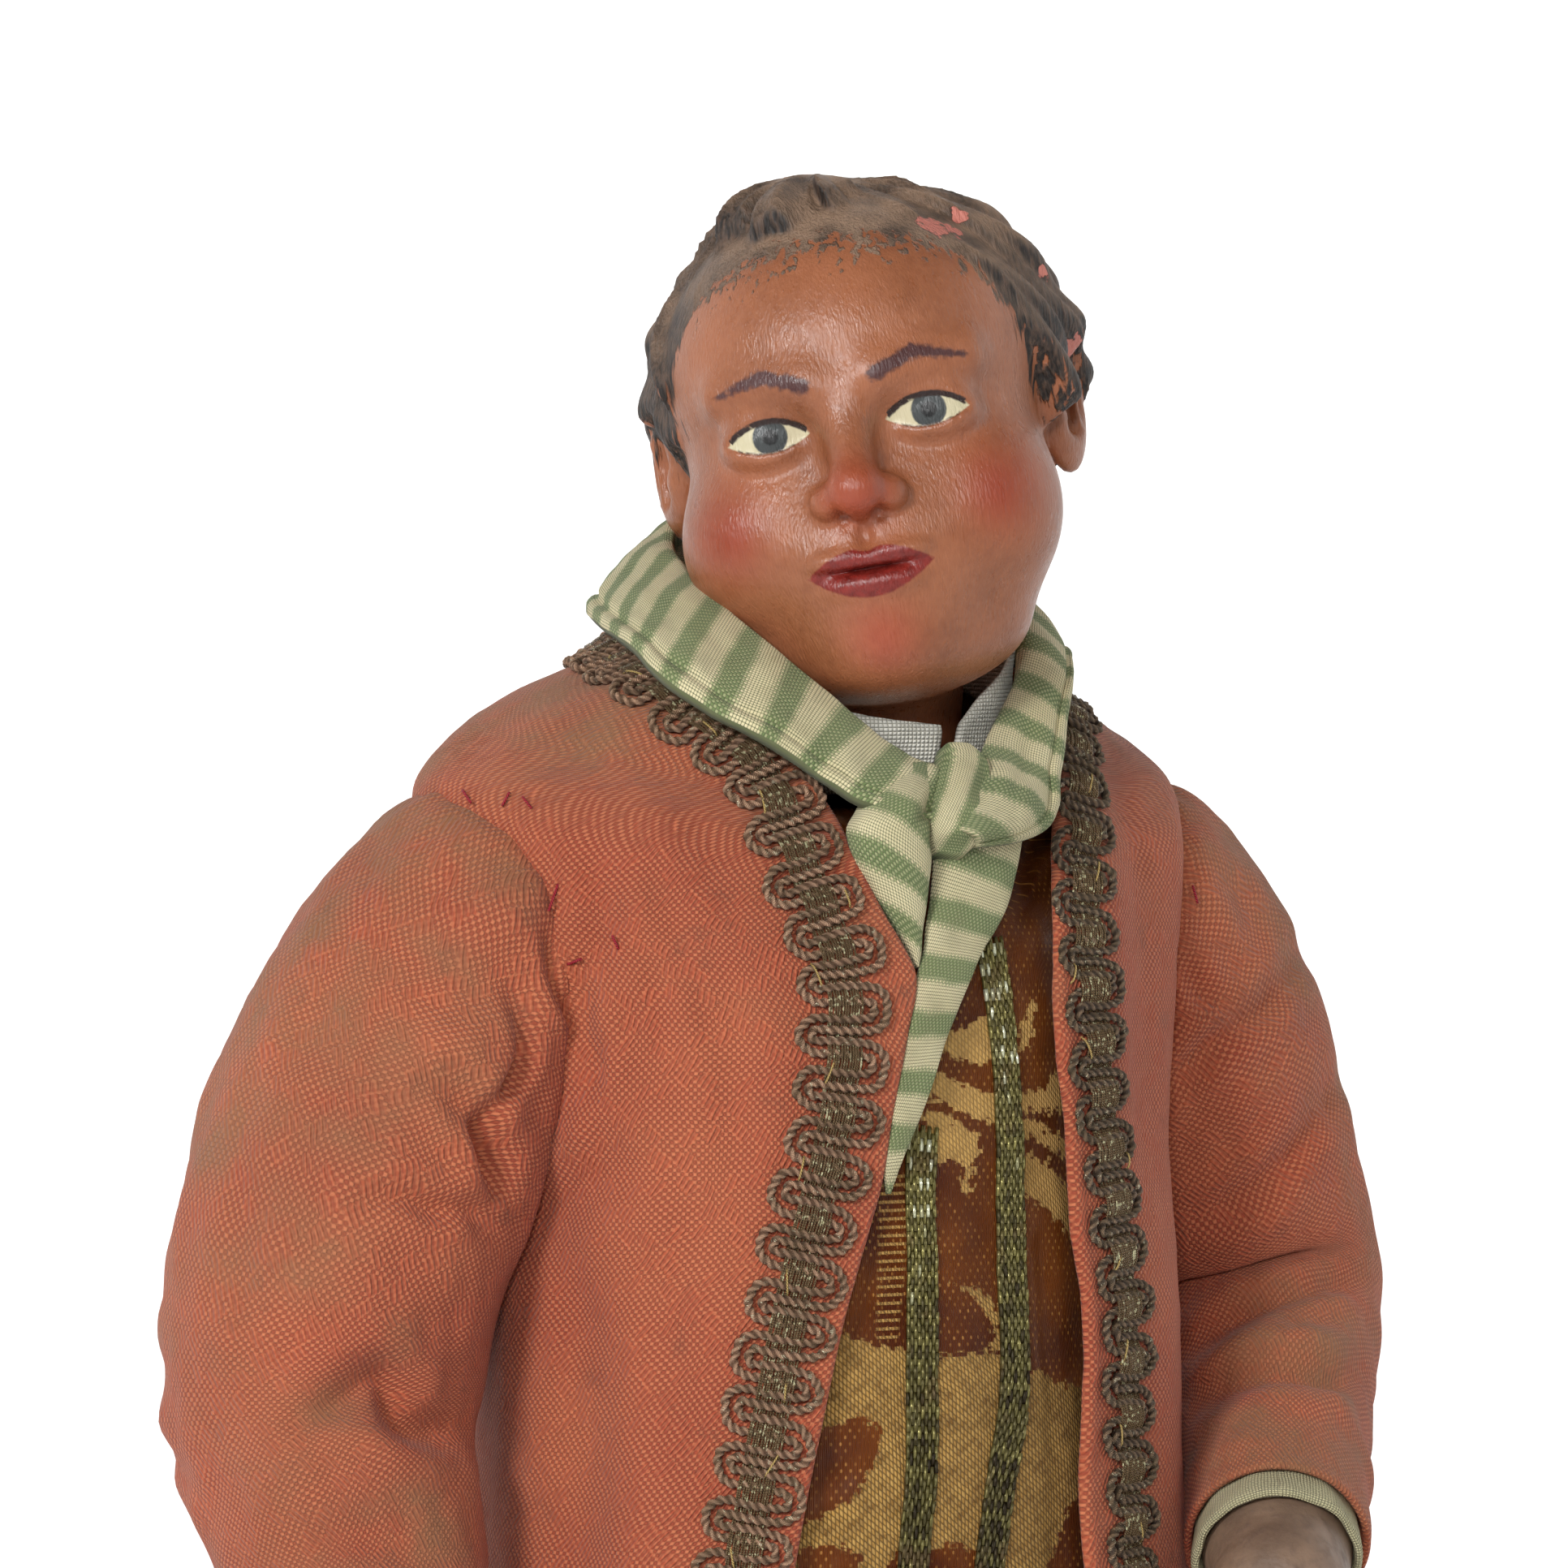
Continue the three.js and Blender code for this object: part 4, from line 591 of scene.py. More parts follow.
def fold_relief(points, normals, folds, deeper=1.0):
    """How far folds, drawn in the camera's view, lift or sink the cloth."""
    seen = picture_place(points)
    facing = smoothstep(-0.05, 0.35, normals @ VIEW_TOWARDS)
    total = np.zeros(points.shape[:-1])
    for route, depth, width in folds:
        line = curve_points(route, FOLD_STEPS)
        near = np.full(total.shape, 1e9)
        place = np.zeros(total.shape)
        for k, spot in enumerate(line):
            distance = np.hypot(seen[..., 0] - spot[0], seen[..., 1] - spot[1])
            closer = distance < near
            near = np.where(closer, distance, near)
            place = np.where(closer, k / (FOLD_STEPS - 1), place)
        taper = np.sin(np.pi * np.clip(0.06 + 0.88 * place, 0, 1)) ** 0.7
        profile = bell(near, 0, width)
        if depth < 0:
            profile -= 0.45 * bell(near, 2 * width, 1.1 * width)
        total += depth * taper * profile
    return total * facing * deeper


def coat_relief(points, normals):
    """Folds, seams and slight unevenness of the coat's cloth."""
    relief = fold_relief(points, normals, COAT_FOLDS, 1.35)
    relief += 0.22 * wobble(points * (1, 1, 0.55), 13, 3) + 0.08 * wobble(points, 4.5, 5)
    low = smoothstep(235, 165, points[..., 2])
    angle = np.arctan2(points[..., 1], points[..., 0])
    relief += low * 0.9 * np.sin(angle * 7 + 0.8) * smoothstep(-25, 5, points[..., 1])
    back_seam = np.exp(-((points[..., 0] + 3) ** 2) / 0.5) * smoothstep(0, 10, points[..., 1])
    return relief - 0.35 * back_seam


def on_dressed_coat(points, lift):
    """Points lifted from the coat's cloth with its folds."""
    surface, normals = on_coat(points)
    height = coat_relief(surface, normals) + lift
    return surface + normals * height[..., None], normals


# Coat


def dust_on(points, normals, start=0.25):
    """Dust settles where the cloth faces up."""
    up = smoothstep(start, 0.95, normals[..., 2] + 0.22 * wobble(points, 11, 8))
    return np.clip(up + 0.25 * smoothstep(0.5, 1.4, wobble(points, 9, 21)), 0, 1)


def profile_heights(bottom, top, count):
    """Heights spaced evenly along the coat's side, where it runs over the shoulder."""
    z = np.linspace(bottom, top, 800)
    side = np.stack([table_value(COAT_STATIONS, z, 2), z], -1)
    along = lengths_along(side)
    return np.interp(np.linspace(0, along[-1], count), along, z)


def neck_line(angle):
    """The height where the coat ends under the neck cloth, at an angle of the torso's rings."""
    foot = curve_points(BAND_BOTTOM, 400)
    angles = np.arctan2(foot[:, 1] - 2, foot[:, 0] + 2)
    order = np.argsort(angles)
    height = np.full(np.shape(angle), 300.0)
    for _ in range(6):
        spot = ring_point(angle, height)
        around = np.arctan2(spot[..., 1] - 2, spot[..., 0] + 2)
        height = np.interp(around, angles[order], foot[order, 2], period=2 * np.pi)
    return height


def coat_surface(across, heights):
    """Points of the coat's outer cloth: across from the right front edge round to the left one."""
    share = (heights - HEM_Z) / (COAT_TOP_Z - HEM_Z)
    (right_z, right_x), (left_z, left_x) = RIGHT_EDGE[-1], LEFT_EDGE[-1]
    first = front_angle(right_x, right_z)
    last = front_angle(left_x, left_z) - 2 * math.pi
    top = neck_line(first + (last - first) * across) + 1.2
    z = HEM_Z + share[:, None] * (top - HEM_Z)[None, :]
    start = front_angle(table_value(RIGHT_EDGE, z, 1), z)
    end = front_angle(table_value(LEFT_EDGE, z, 1), z) - 2 * math.pi
    points = ring_point(start + (end - start) * across[None, :], z)
    return points, unit(torso_gradient(points))


def make_coat(material):
    build = Build()
    rows, half_cols = 146, 98
    heights = profile_heights(HEM_Z, COAT_TOP_Z, rows)
    fine_edge = np.array([0, 0.0008, 0.002, 0.004])
    right_half = np.concatenate([fine_edge, np.linspace(0.008, 0.5, half_cols)])
    for across in (right_half, 1 - right_half):
        points, normals = coat_surface(across, heights)
        relief = coat_relief(points, normals)
        from_edge = np.minimum(across, 1 - across) * COAT_CLOTH_WIDTH
        rounding = 1 - np.sqrt(np.clip(1 - (1 - np.clip(from_edge / 0.7, 0, 1)) ** 2, 0, 1))
        roll = 0.28 * bell(from_edge, 1.1, 0.8)
        outer_height = relief + roll - rounding * COAT_THICKNESS / 2
        inner_height = relief - COAT_THICKNESS + rounding * COAT_THICKNESS / 2
        inner_height = np.minimum(inner_height, outer_height - 0.12)
        outer = points + normals * outer_height[..., None]
        inner = points + normals * inner_height[..., None]
        from_front = lengths_along(points.swapaxes(0, 1)).T
        side = 1 if across[0] < across[-1] else -1
        uv = np.stack([(from_front - from_front[:, -1:]) * side, lengths_along(points)], -1)
        dust = dust_on(points, normals, 0.12) * smoothstep(225, 285, points[..., 2])
        build.shell(outer, inner, uv, rims=(1, 1, 1, 0), dust=dust)
    build.piece("coat_cloth", material, "coat_silk", ["coat"])


# Sleeves

ELBOW_Z = 228
ELBOW_SMOOTHING = 60


def arm_path(arm, count):
    """Points down the middle of an arm, and its radius at each."""
    dense = curve_points([row[:3] for row in arm], 400)
    along = lengths_along(dense)
    wanted = np.linspace(0, along[-1], count)
    place = np.interp(wanted, along, np.linspace(0, 1, len(dense)))
    radii = table_value([[i / (len(arm) - 1), row[3]] for i, row in enumerate(arm)], place, 1)
    return at_lengths(dense, wanted), radii


def sleeve_relief(points, normals, place, seed):
    relief = fold_relief(points, normals, SLEEVE_FOLDS, 1.6)
    relief += 0.3 * wobble(points, 12, seed) + 0.1 * wobble(points, 4.5, seed + 1)
    behind = smoothstep(-0.1, 0.5, normals[..., 1])
    ruck = np.sin(points[..., 2] * 0.75 + 1.3 * wobble(points, 14, seed + 2))
    near_elbow = bell(points[..., 2], ELBOW_Z, 14)
    relief += 0.55 * behind * near_elbow * ruck
    gathers = np.sin(points[..., 1] * 1.5 + points[..., 0] * 0.5)
    return relief + 0.22 * gathers * np.exp(-place / 5)


def make_sleeve(name, arm, node, seed, material):
    rows, sides = 140, 140
    path, radii = arm_path(arm, 260)
    rings = tube_rings(path, radii, sides, up=(0, 1, 0))
    field = torso_field(rings)
    inside = field < -0.7
    last_inside = np.where(inside.any(0), rings.shape[0] - 1 - np.argmax(inside[::-1], 0), 0)
    places = last_inside + (rings.shape[0] - 1 - last_inside) * np.linspace(0, 1, rows)[:, None]
    low = np.clip(places.astype(int), 0, rings.shape[0] - 2)
    part = (places - low)[..., None]
    columns = np.arange(sides)[None, :]
    skin = rings[low, columns] * (1 - part) + rings[low + 1, columns] * part
    for _ in range(ELBOW_SMOOTHING):
        skin[1:-1] = (skin[:-2] + 2 * skin[1:-1] + skin[2:]) / 4
    middles = skin.mean(1, keepdims=True)
    normals = unit(skin - middles)
    from_seam = lengths_along(skin)
    relief = sleeve_relief(skin, normals, from_seam, seed)
    relief += 0.5 * bell(from_seam, 5, 4) - 0.8 * bell(from_seam, 0, 1.6)
    ending = smoothstep(0, 5, lengths_along(skin[::-1])[::-1])
    skin = skin + normals * (relief * (0.25 + 0.75 * ending))[..., None]
    way = unit(path[-1] - path[-12])
    hem = skin[-1] - (skin[-1] - middles[-1]) * 0.03 + way * 0.45
    turn = skin[-1] - (skin[-1] - middles[-1]) * 0.085 + way * 0.1
    within = middles[-1] + (skin[-1] - middles[-1]) * 0.88 - way * 4
    rings = np.concatenate([skin, hem[None], turn[None], within[None]])
    down_arm = np.concatenate([places, places[-1:] + 1, places[-1:] + 2, places[-1:] + 9])
    down_arm = np.concatenate([down_arm, down_arm[:, :1]], 1) * lengths_along(path)[-1] / len(path)
    around = np.linspace(0, 2 * math.pi * radii.mean(), sides + 1)
    uv = np.stack([np.broadcast_to(around, down_arm.shape), down_arm], -1)
    normals = np.concatenate([normals, normals[-1:], normals[-1:], normals[-1:]])
    build = Build()
    build.tube(rings, uv, dust=dust_on(rings, normals, 0.0))
    piece = build.piece(name, material, "coat_silk", [node])


def make_tacks(material):
    """Loose tacking stitches near the armholes."""
    build = Build()
    for start, end in TACKS:
        line = np.linspace(start, end, 9)
        near = VIEW_SIDE * line[:, :1] + np.array([0, 0, 1]) * line[:, 1:] + VIEW_TOWARDS * 60
        reach = np.linspace(0, 75, 400)[:, None, None]
        rays = near[None] - VIEW_TOWARDS * reach
        hit = np.maximum(torso_field(rays) < 0, sleeve_inside(rays)).argmax(0)
        arch = 0.45 + 0.25 * np.sin(np.linspace(0, np.pi, 9))
        spots = rays[hit, np.arange(len(near))] + VIEW_TOWARDS * arch[:, None]
        rings = tube_rings(spots, 0.14, 6)
        build.tube(rings)
    build.piece("tacking_threads", material, "coat_silk")


def sleeve_inside(points):
    inside = np.zeros(points.shape[:-1], bool)
    for arm in (RIGHT_ARM, LEFT_ARM):
        for spot, radius in zip(*arm_path(arm, 60)):
            inside |= np.linalg.norm(points - spot, axis=-1) < radius
    return inside


# Braid

RIGHT_BRAID_HALF = 4.8
LEFT_BRAID_HALF = 4
BRAID_PERIOD = 5.3
CORD_RADIUS = 0.4
CORD_SIDES = 8
CORD_SHIFT = 0.64
CORD_TWIST = 3.3
CORD_STEP = 0.22
CORE_STEP = 0.8


def front_line(places):
    """Points on the coat's front at places given as [x, z]."""
    return on_coat(np.array([[x, -30, z] for x, z in places], float))[0]


def braid_path(front, shoulder):
    dense = curve_points(np.vstack([front_line(front), shoulder]), 900)
    return on_coat(dense)[0]


def braid_frame(path, along):
    spots = at_lengths(path, along)
    ahead = at_lengths(path, along + 0.5)
    behind = at_lengths(path, along - 0.5)
    _, normals = on_coat(spots)
    across = unit(np.cross(normals, unit(ahead - behind)))
    return spots, across


def serpentine(length, half_width, shift):
    """A cord's run as [along, across]: straight across, round a bend and back, shift from the middle."""
    turn = BRAID_PERIOD / 4
    straight = half_width - CORD_RADIUS - CORD_SHIFT - turn
    points = []
    for k in range(int(length / BRAID_PERIOD * 2)):
        centre = (k + 0.5) * BRAID_PERIOD / 2
        side = 1 if k % 2 == 0 else -1
        radius = turn + shift * side
        across = np.linspace(-straight, straight, 9) * side
        squeeze = -0.12 * side * (1 - (across / straight) ** 2)
        before = centre - turn - shift * side - squeeze
        points += np.stack([before, across], -1)[:-1].tolist()
        sweep = np.linspace(0, np.pi, 13)[:-1]
        bend = np.stack([centre - radius * np.cos(sweep), side * (straight + radius * np.sin(sweep))], -1)
        points += bend.tolist()
    return np.array(points)


def make_braid(name, front, shoulder, half_width, seed, material, thread_material):
    path = braid_path(front, shoulder)
    length = lengths_along(path)[-1]
    rng = np.random.default_rng(seed)
    build = Build()
    angles = full_turn(CORD_SIDES)
    for shift in (-CORD_SHIFT, CORD_SHIFT):
        run = serpentine(length - 1, half_width, shift)
        run[:, 0] += 0.16 * np.sin(run[:, 0] * 0.9 + seed) + 0.5
        run[:, 1] += 0.2 * np.sin(run[:, 0] * 0.37 + seed * 2) + 0.09 * np.sin(run[:, 0] * 2.3)
        run = at_lengths(run, np.arange(0, lengths_along(run)[-1], CORD_STEP))
        spots, across = braid_frame(path, run[:, 0])
        ripple = 0.08 * np.sin(run[:, 0] * 3.1 + run[:, 1])
        cord, normals = on_dressed_coat(spots + across * run[:, 1:], CORD_RADIUS + 0.12 + ripple)
        rings = tube_rings(cord, CORD_RADIUS, CORD_SIDES, up=normals[0], lobes=0.26, twist=CORD_TWIST)
        ply = np.cos(2 * (angles - CORD_TWIST * lengths_along(cord)[:, None]))
        build.tube(rings, ply=ply)
    build.piece(name, material, "gimp_braid", [name.replace("_cords", "")])
    threads = Build()
    along = np.arange(1, length - 1, CORE_STEP)
    spots, across = braid_frame(path, along)
    for k in range(13):
        offset = -1.6 + 0.27 * k + rng.uniform(-0.05, 0.05)
        height = 0.6 + 0.4 * np.sin(along * 2 * np.pi / BRAID_PERIOD + seed) + rng.uniform(-0.04, 0.04)
        line, normals = on_dressed_coat(spots + across * offset, height)
        rings = tube_rings(line, 0.11, 5, up=normals[0])
        threads.tube(rings)
    threads.piece(name.replace("cords", "core"), thread_material, "gimp_braid")


def make_braid_stitches(material):
    """Yellow sewing threads that hold the braids down."""
    build = Build()
    rng = np.random.default_rng(12)
    fronts = (RIGHT_BRAID_FRONT, LEFT_BRAID_FRONT)
    for front, shoulder in zip(fronts, (RIGHT_BRAID_SHOULDER, LEFT_BRAID_SHOULDER)):
        path = braid_path(front, shoulder)
        length = lengths_along(path)[-1]
        for start in np.arange(4, length - 12, 9.5):
            middle = start + rng.uniform(-1.5, 1.5)
            side = rng.choice([-1, 1]) * rng.uniform(0.6, 3)
            slant = rng.uniform(-0.7, 0.7)
            share = np.linspace(-1, 1, 7)
            spots, across = braid_frame(path, middle + share * rng.uniform(0.9, 1.5))
            lift = 2 * CORD_RADIUS + 0.2 - 0.5 * share**4
            line, normals = on_dressed_coat(spots + across * (side + slant * share)[:, None], lift)
            rings = tube_rings(line, 0.1, 6, up=normals[3])
            build.tube(rings)
    build.piece("braid_stitches", material, "gimp_braid")


# Waistcoat and its ribbons


def waistcoat_relief(points):
    relief = 0.3 * wobble(points * (1, 1, 0.5), 12, 31) + 0.1 * wobble(points, 5, 32)
    front_edge = bell(points[..., 0], WAISTCOAT_EDGE_X, 1.5)
    return relief - 0.5 * front_edge * smoothstep(262, 240, points[..., 2])


def polygon_distance(points, corners):
    """Signed distance to a flat outline, less than 0 inside."""
    corners = np.asarray(corners, float)
    nearest = np.full(points.shape[:-1], 1e9)
    inside = np.zeros(points.shape[:-1], bool)
    for start, end in zip(corners, np.roll(corners, -1, 0)):
        way = end - start
        share = np.clip((points - start) @ way / (way @ way), 0, 1)
        nearest = np.minimum(nearest, np.linalg.norm(points - start - share[..., None] * way, axis=-1))
        crosses = (start[1] > points[..., 1]) != (end[1] > points[..., 1])
        edge = start[0] + (points[..., 1] - start[1]) / (way[1] if way[1] else 1e-9) * way[0]
        inside ^= crosses & (points[..., 0] < edge)
    return np.where(inside, -nearest, nearest)


def brocade_figure(points, normals):
    """Signed distances to the gold leaves and to the gold rows, drawn in the camera's view."""
    seen = picture_place(points)
    gold = np.min([polygon_distance(seen, leaf) for leaf in GOLD_LEAVES], 0)
    dark = np.min([polygon_distance(seen, gap) for gap in DARK_GAPS], 0)
    away = 6 * (normals @ VIEW_TOWARDS < -0.2)
    return np.maximum(gold, -dark) + away, polygon_distance(seen, GOLD_ROWS) + away


def make_waistcoat(material):
    rows, cols = 180, 300
    heights = profile_heights(WAISTCOAT_BOTTOM_Z, COAT_TOP_Z, rows)
    round_share = np.linspace(-1, 1, cols, endpoint=False)
    angles = -math.pi / 2 + math.pi * (0.45 * round_share + 0.55 * round_share**3)
    share = (heights - WAISTCOAT_BOTTOM_Z) / (COAT_TOP_Z - WAISTCOAT_BOTTOM_Z)
    top = neck_line(angles) - 1.5
    z = WAISTCOAT_BOTTOM_Z + share[:, None] * (top - WAISTCOAT_BOTTOM_Z)[None, :]
    points = ring_point(angles[None, :], z)
    normals = unit(torso_gradient(points))
    height = np.minimum(waistcoat_relief(points), 0.5) - WAISTCOAT_DEPTH
    skin = points + normals * height[..., None]
    gold, striped = brocade_figure(skin, normals)
    centre = np.array([NECK_AXIS[0], NECK_AXIS[1] - 2, NECK_FOOT_Z - 1.5])
    inner_rim = centre + (skin[-1] - centre) * (0.8, 0.8, 0.35)
    floor = centre + (skin[-1] - centre) * (0.5, 0.5, 0.02)
    foot = skin[0] * (0.97, 0.97, 1)
    rings = np.concatenate([foot[None], skin, inner_rim[None], floor[None]])
    gold, striped = (np.concatenate([part[:1], part, part[-1:], part[-1:]]) for part in (gold, striped))
    build = Build()
    build.tube(rings, gold=gold, rows=striped)
    build.piece("waistcoat_brocade", material, "waistcoat_brocade", ["waistcoat"])


def make_ribbon(name, places, seed, material):
    """A woven foil ribbon: columns of small cells that tilt a little each their own way."""
    rng = np.random.default_rng(seed)
    path = on_coat(curve_points(front_line(places), 500))[0]
    columns, pitch, length = 9, 0.39, 1.3
    steps = int(lengths_along(path)[-1] / length) - 1
    half = np.array([-0.5, 0, 0.5])
    column, step = np.meshgrid(np.arange(columns), np.arange(steps))
    middle = (step + 1 + 0.5 * (column % 2)) * length
    along = middle[..., None, None] + half[:, None] * length * 0.96
    offset = ((column - (columns - 1) / 2) * pitch)[..., None, None] + half * pitch * 0.94
    along, offset = np.broadcast_arrays(along, offset)
    spots, across = braid_frame(path, along.ravel())
    surface, normals = on_coat(spots + across * offset.reshape(-1, 1))
    surface, normals = surface.reshape(*along.shape, 3), normals.reshape(*along.shape, 3)
    crown = 0.2 * (1 - 3 * half[:, None] ** 2) * (1 - 3 * half[None, :] ** 2)
    tilts = rng.uniform(-0.22, 0.22, (2, *column.shape))[..., None, None]
    ground = waistcoat_relief(surface) - WAISTCOAT_DEPTH
    lift = ground + 0.25 + crown + tilts[0] * half[:, None] + tilts[1] * half[None, :]
    top = surface + normals * lift[..., None]
    under = surface + normals * (ground - 0.1)[..., None]
    uv = np.stack([offset, along], -1)
    # Each cell's tone is painted light: its random brightness and the brighter rows stand in for glints, and
    # the cells grow lighter towards the neck
    fade = 1 - middle / middle.max()
    lit_rows = 0.28 * (np.sin(middle * 2.9 + seed) > 0.3)
    glint = np.clip(0.6 * fade**1.6 + lit_rows + rng.uniform(-0.25, 0.25, column.shape), 0, 1)
    build = Build()
    for cell in np.ndindex(column.shape):
        build.shell(top[cell], under[cell], uv[cell], glint=glint[cell])
    build.piece(name, material, "lame_ribbon", [name.replace("_foil", "")], weld=1e-4)


# Neck cloth and shirt collar


def band_surface(rows, cols):
    """The neck cloth's band: rows up from its lower edge, columns round the neck."""
    lower = curve_points(BAND_BOTTOM, cols)
    upper = curve_points(BAND_TOP, cols)
    foot, normals = on_coat(lower)
    foot = foot + normals * BAND_LIFT
    up = upper - foot
    along = np.gradient(foot, axis=0)
    outward = unit(np.cross(up, along))
    share = np.linspace(0, 1, rows)[:, None, None]
    near_knot = smoothstep(0.8, 0.95, np.linspace(0, 1, cols))[None, :, None]
    bulge = (0.8 + 1.7 * near_knot) * np.sin(np.pi * share) ** 0.8
    surface = foot + up * share + outward * bulge
    return surface, np.broadcast_to(outward, surface.shape)


def make_cravat(material):
    build = Build()
    rows, cols = 44, 330
    surface, outward = band_surface(rows, cols)
    run = lengths_along(surface.mean(0)) * BAND_STRIPE_SCALE
    share = np.linspace(0, 1, rows)[:, None]
    hem = -0.45 * bell(share, 0.15, 0.03) + 0.25 * smoothstep(0.16, 0.05, share)
    slack = 0.22 * wobble(surface * (1, 1, 0.6), 9, 41) + 0.08 * wobble(surface, 3.5, 42)
    rounded = -0.45 * (bell(share, 0, 0.03) + bell(share, 1, 0.03))
    lift = hem + slack + rounded + fold_relief(surface, outward, KNOT_FOLDS)
    outer = surface + outward * (lift + CRAVAT_THICKNESS)[..., None]
    inner = surface + outward * (np.minimum(lift, 0) * 0.4 + 0.1)[..., None]
    height = lengths_along(surface)
    uv = np.stack([np.broadcast_to(run + BAND_STRIPE_START, height.shape), height], -1)
    build.shell(outer, inner, uv)
    add_patch(build, LONG_TAIL, TAIL_DEPTH, (TAIL_STRIPE_SCALE, -0.42, LONG_TAIL_STRIPE_START), 6)
    add_patch(build, SHORT_TAIL, TAIL_DEPTH, (TAIL_STRIPE_SCALE, -0.4, SHORT_TAIL_STRIPE_START), 5)
    add_patch(build, KNOT_WRAP, KNOT_WRAP_DEPTH, (0.25, 1, WRAP_STRIPE_START), 7)
    piece = build.piece("cravat_cloth", material, "cravat_cloth", ["cravat"])


def add_patch(build, table, depth, stripes, seed, rows=80, cols=40):
    """A tail or fold of the neck cloth between two edges, with a crown. The stripes are a scale
    down it, a scale across it and a start."""
    edges = curve_points(table, rows)
    share = np.linspace(0, 1, cols)
    flat = edges[:, None, :3] * (1 - share)[:, None] + edges[:, None, 3:6] * share[:, None]
    normals = on_coat(flat)[1]
    crown = (1 - (2 * share - 1) ** 2) ** 0.6
    edge = np.minimum(share, 1 - share)
    rounding = -0.3 * bell(edge, 0, 0.03)
    relief = 0.14 * wobble(flat, 6, seed) + fold_relief(flat, normals, KNOT_FOLDS)
    lift = edges[:, 6:] * crown + rounding + relief * smoothstep(0, 0.12, edge)
    outer = flat + normals * lift[..., None]
    inner = flat + normals * (edges[:, 6:] * crown * 0.3 - depth - rounding)[..., None]
    width = lengths_along(outer.swapaxes(0, 1)).T
    down = np.broadcast_to(lengths_along(flat.mean(1))[:, None], width.shape)
    stripe = down * stripes[0] + (width - width[:, -1:] / 2) * stripes[1] + stripes[2]
    build.shell(outer, inner, np.stack([stripe, width - down * stripes[1]], -1))


def make_collar(material):
    rows, cols = 22, 160
    angles = np.linspace(COLLAR_STATIONS[0][0], COLLAR_STATIONS[-1][0], cols)
    top = table_value(COLLAR_STATIONS, angles, 1)
    radius = table_value(COLLAR_STATIONS, angles, 2)
    share = np.linspace(0, 1, rows)[:, None]
    bottom = np.maximum(top - COLLAR_HEIGHT, NECK_FOOT_Z)
    z = bottom + (top - bottom) * share
    reach = radius - COLLAR_FLARE * (1 - share) + 0.35 * np.sin(np.pi * share)
    turn = np.radians(angles)
    cos, sin = np.cos(turn), np.sin(turn)
    flat = np.stack([z * 0 + cos * COLLAR_REACH, z * 0 + sin * COLLAR_REACH, z], -1)
    uneven = 0.14 * wobble(flat, 5, 51)

    def at(offset):
        r = reach + uneven + offset
        return np.stack([NECK_AXIS[0] + cos * r, NECK_AXIS[1] + sin * r, z], -1)

    edge = np.minimum(share, 1 - share)
    round_off = 0.25 * bell(edge, 0, 0.05)
    uv = np.stack([np.broadcast_to(turn * COLLAR_REACH, z.shape), z], -1)
    build = Build()
    build.shell(at(-round_off), at(round_off - 0.8), uv)
    piece = build.piece("collar_linen", material, "collar_linen", ["shirt_collar"])


# Head and hands, from smooth fields of distances

HEAD_VOXEL = 0.46
HAND_VOXEL = 0.42
BREECHES_VOXEL = 1.4


def smooth_min(a, b, k):
    """The smaller of two distances, joined softly where they differ by less than k."""
    h = np.maximum(k - np.abs(a - b), 0) / k
    return np.minimum(a, b) - h * h * k / 4


def smooth_max(a, b, k):
    return -smooth_min(-a, -b, k)


def ellipsoid(p, at, half):
    q = (p - np.asarray(at, np.float32)) / np.asarray(half, np.float32)
    near = np.sqrt((q**2).sum(-1))
    slope = np.sqrt(((q / np.asarray(half, np.float32)) ** 2).sum(-1))
    return near * (near - 1) / np.maximum(slope, 1e-6)


def capsule(p, start, end, start_radius, end_radius):
    start = np.asarray(start, np.float32)
    way = np.asarray(end, np.float32) - start
    t = np.clip(((p - start) @ way) / (way @ way), 0, 1)
    nearest = start + t[..., None] * way
    return np.sqrt(((p - nearest) ** 2).sum(-1)) - (start_radius + (end_radius - start_radius) * t)


# Forms of the head in its own frame: middle, half sizes and how softly each joins
SKULL = ((0.5, 2, 5), (19, 21.6, 18.8))
FACE_FORMS = [
    ((0, -5.6, 7), (17, 14.6, 13.6), 6), ((0, -5.4, -11.4), (17.4, 15.6, 13.6), 7),
    ((-10.6, -11.2, -9.6), (7.6, 7.6, 7.2), 6), ((10.6, -11.2, -9.6), (7.6, 7.6, 7.2), 6),
    ((0, -17, -21.3), (5.6, 4.6, 4.2), 5), ((0, -8.6, -21.5), (13, 10, 6), 5),
]
MOUTH_FORMS = [
    ((0, -16.4, -13.6), (8.4, 6, 6.4), 5), ((-2.3, -21.7, -12.9), (3.9, 1.7, 1.15), 0.8),
    ((2.3, -21.7, -12.9), (3.9, 1.7, 1.15), 0.8), ((0, -21.5, -15.7), (4.9, 1.8, 1.45), 0.8),
]
NOSE_FORMS = [
    ((0, -23.9, -6.6), (2.7, 2.7, 2.4), 1.6), ((-3.1, -21.9, -7.2), (1.8, 2.3, 1.8), 0.9),
    ((3.1, -21.9, -7.2), (1.8, 2.3, 1.8), 0.9),
]
HAIR = ((0.8, 3.2, 4.2), (22.6, 22.9, 21))
TUFT = ((-3, -4, 20.6), (7, 9, 5.5))
HAIR_LINE = [
    [-24, 20], [-19, 19.4], [-15.5, 18.6], [-13.2, 16.2], [-11.5, 10.5], [-9, 5], [-6, 0], [-4, -2.5],
    [-1.5, 2.5], [4, 3.5], [8, -6], [12, -11], [18, -14], [28, -15],
]
EYE_X = 7.9
EYE_HALF = 4.2
LID_RISE = 1.75
LOWER_LID_RISE = -1.35
MOUTH_Z = -14.2
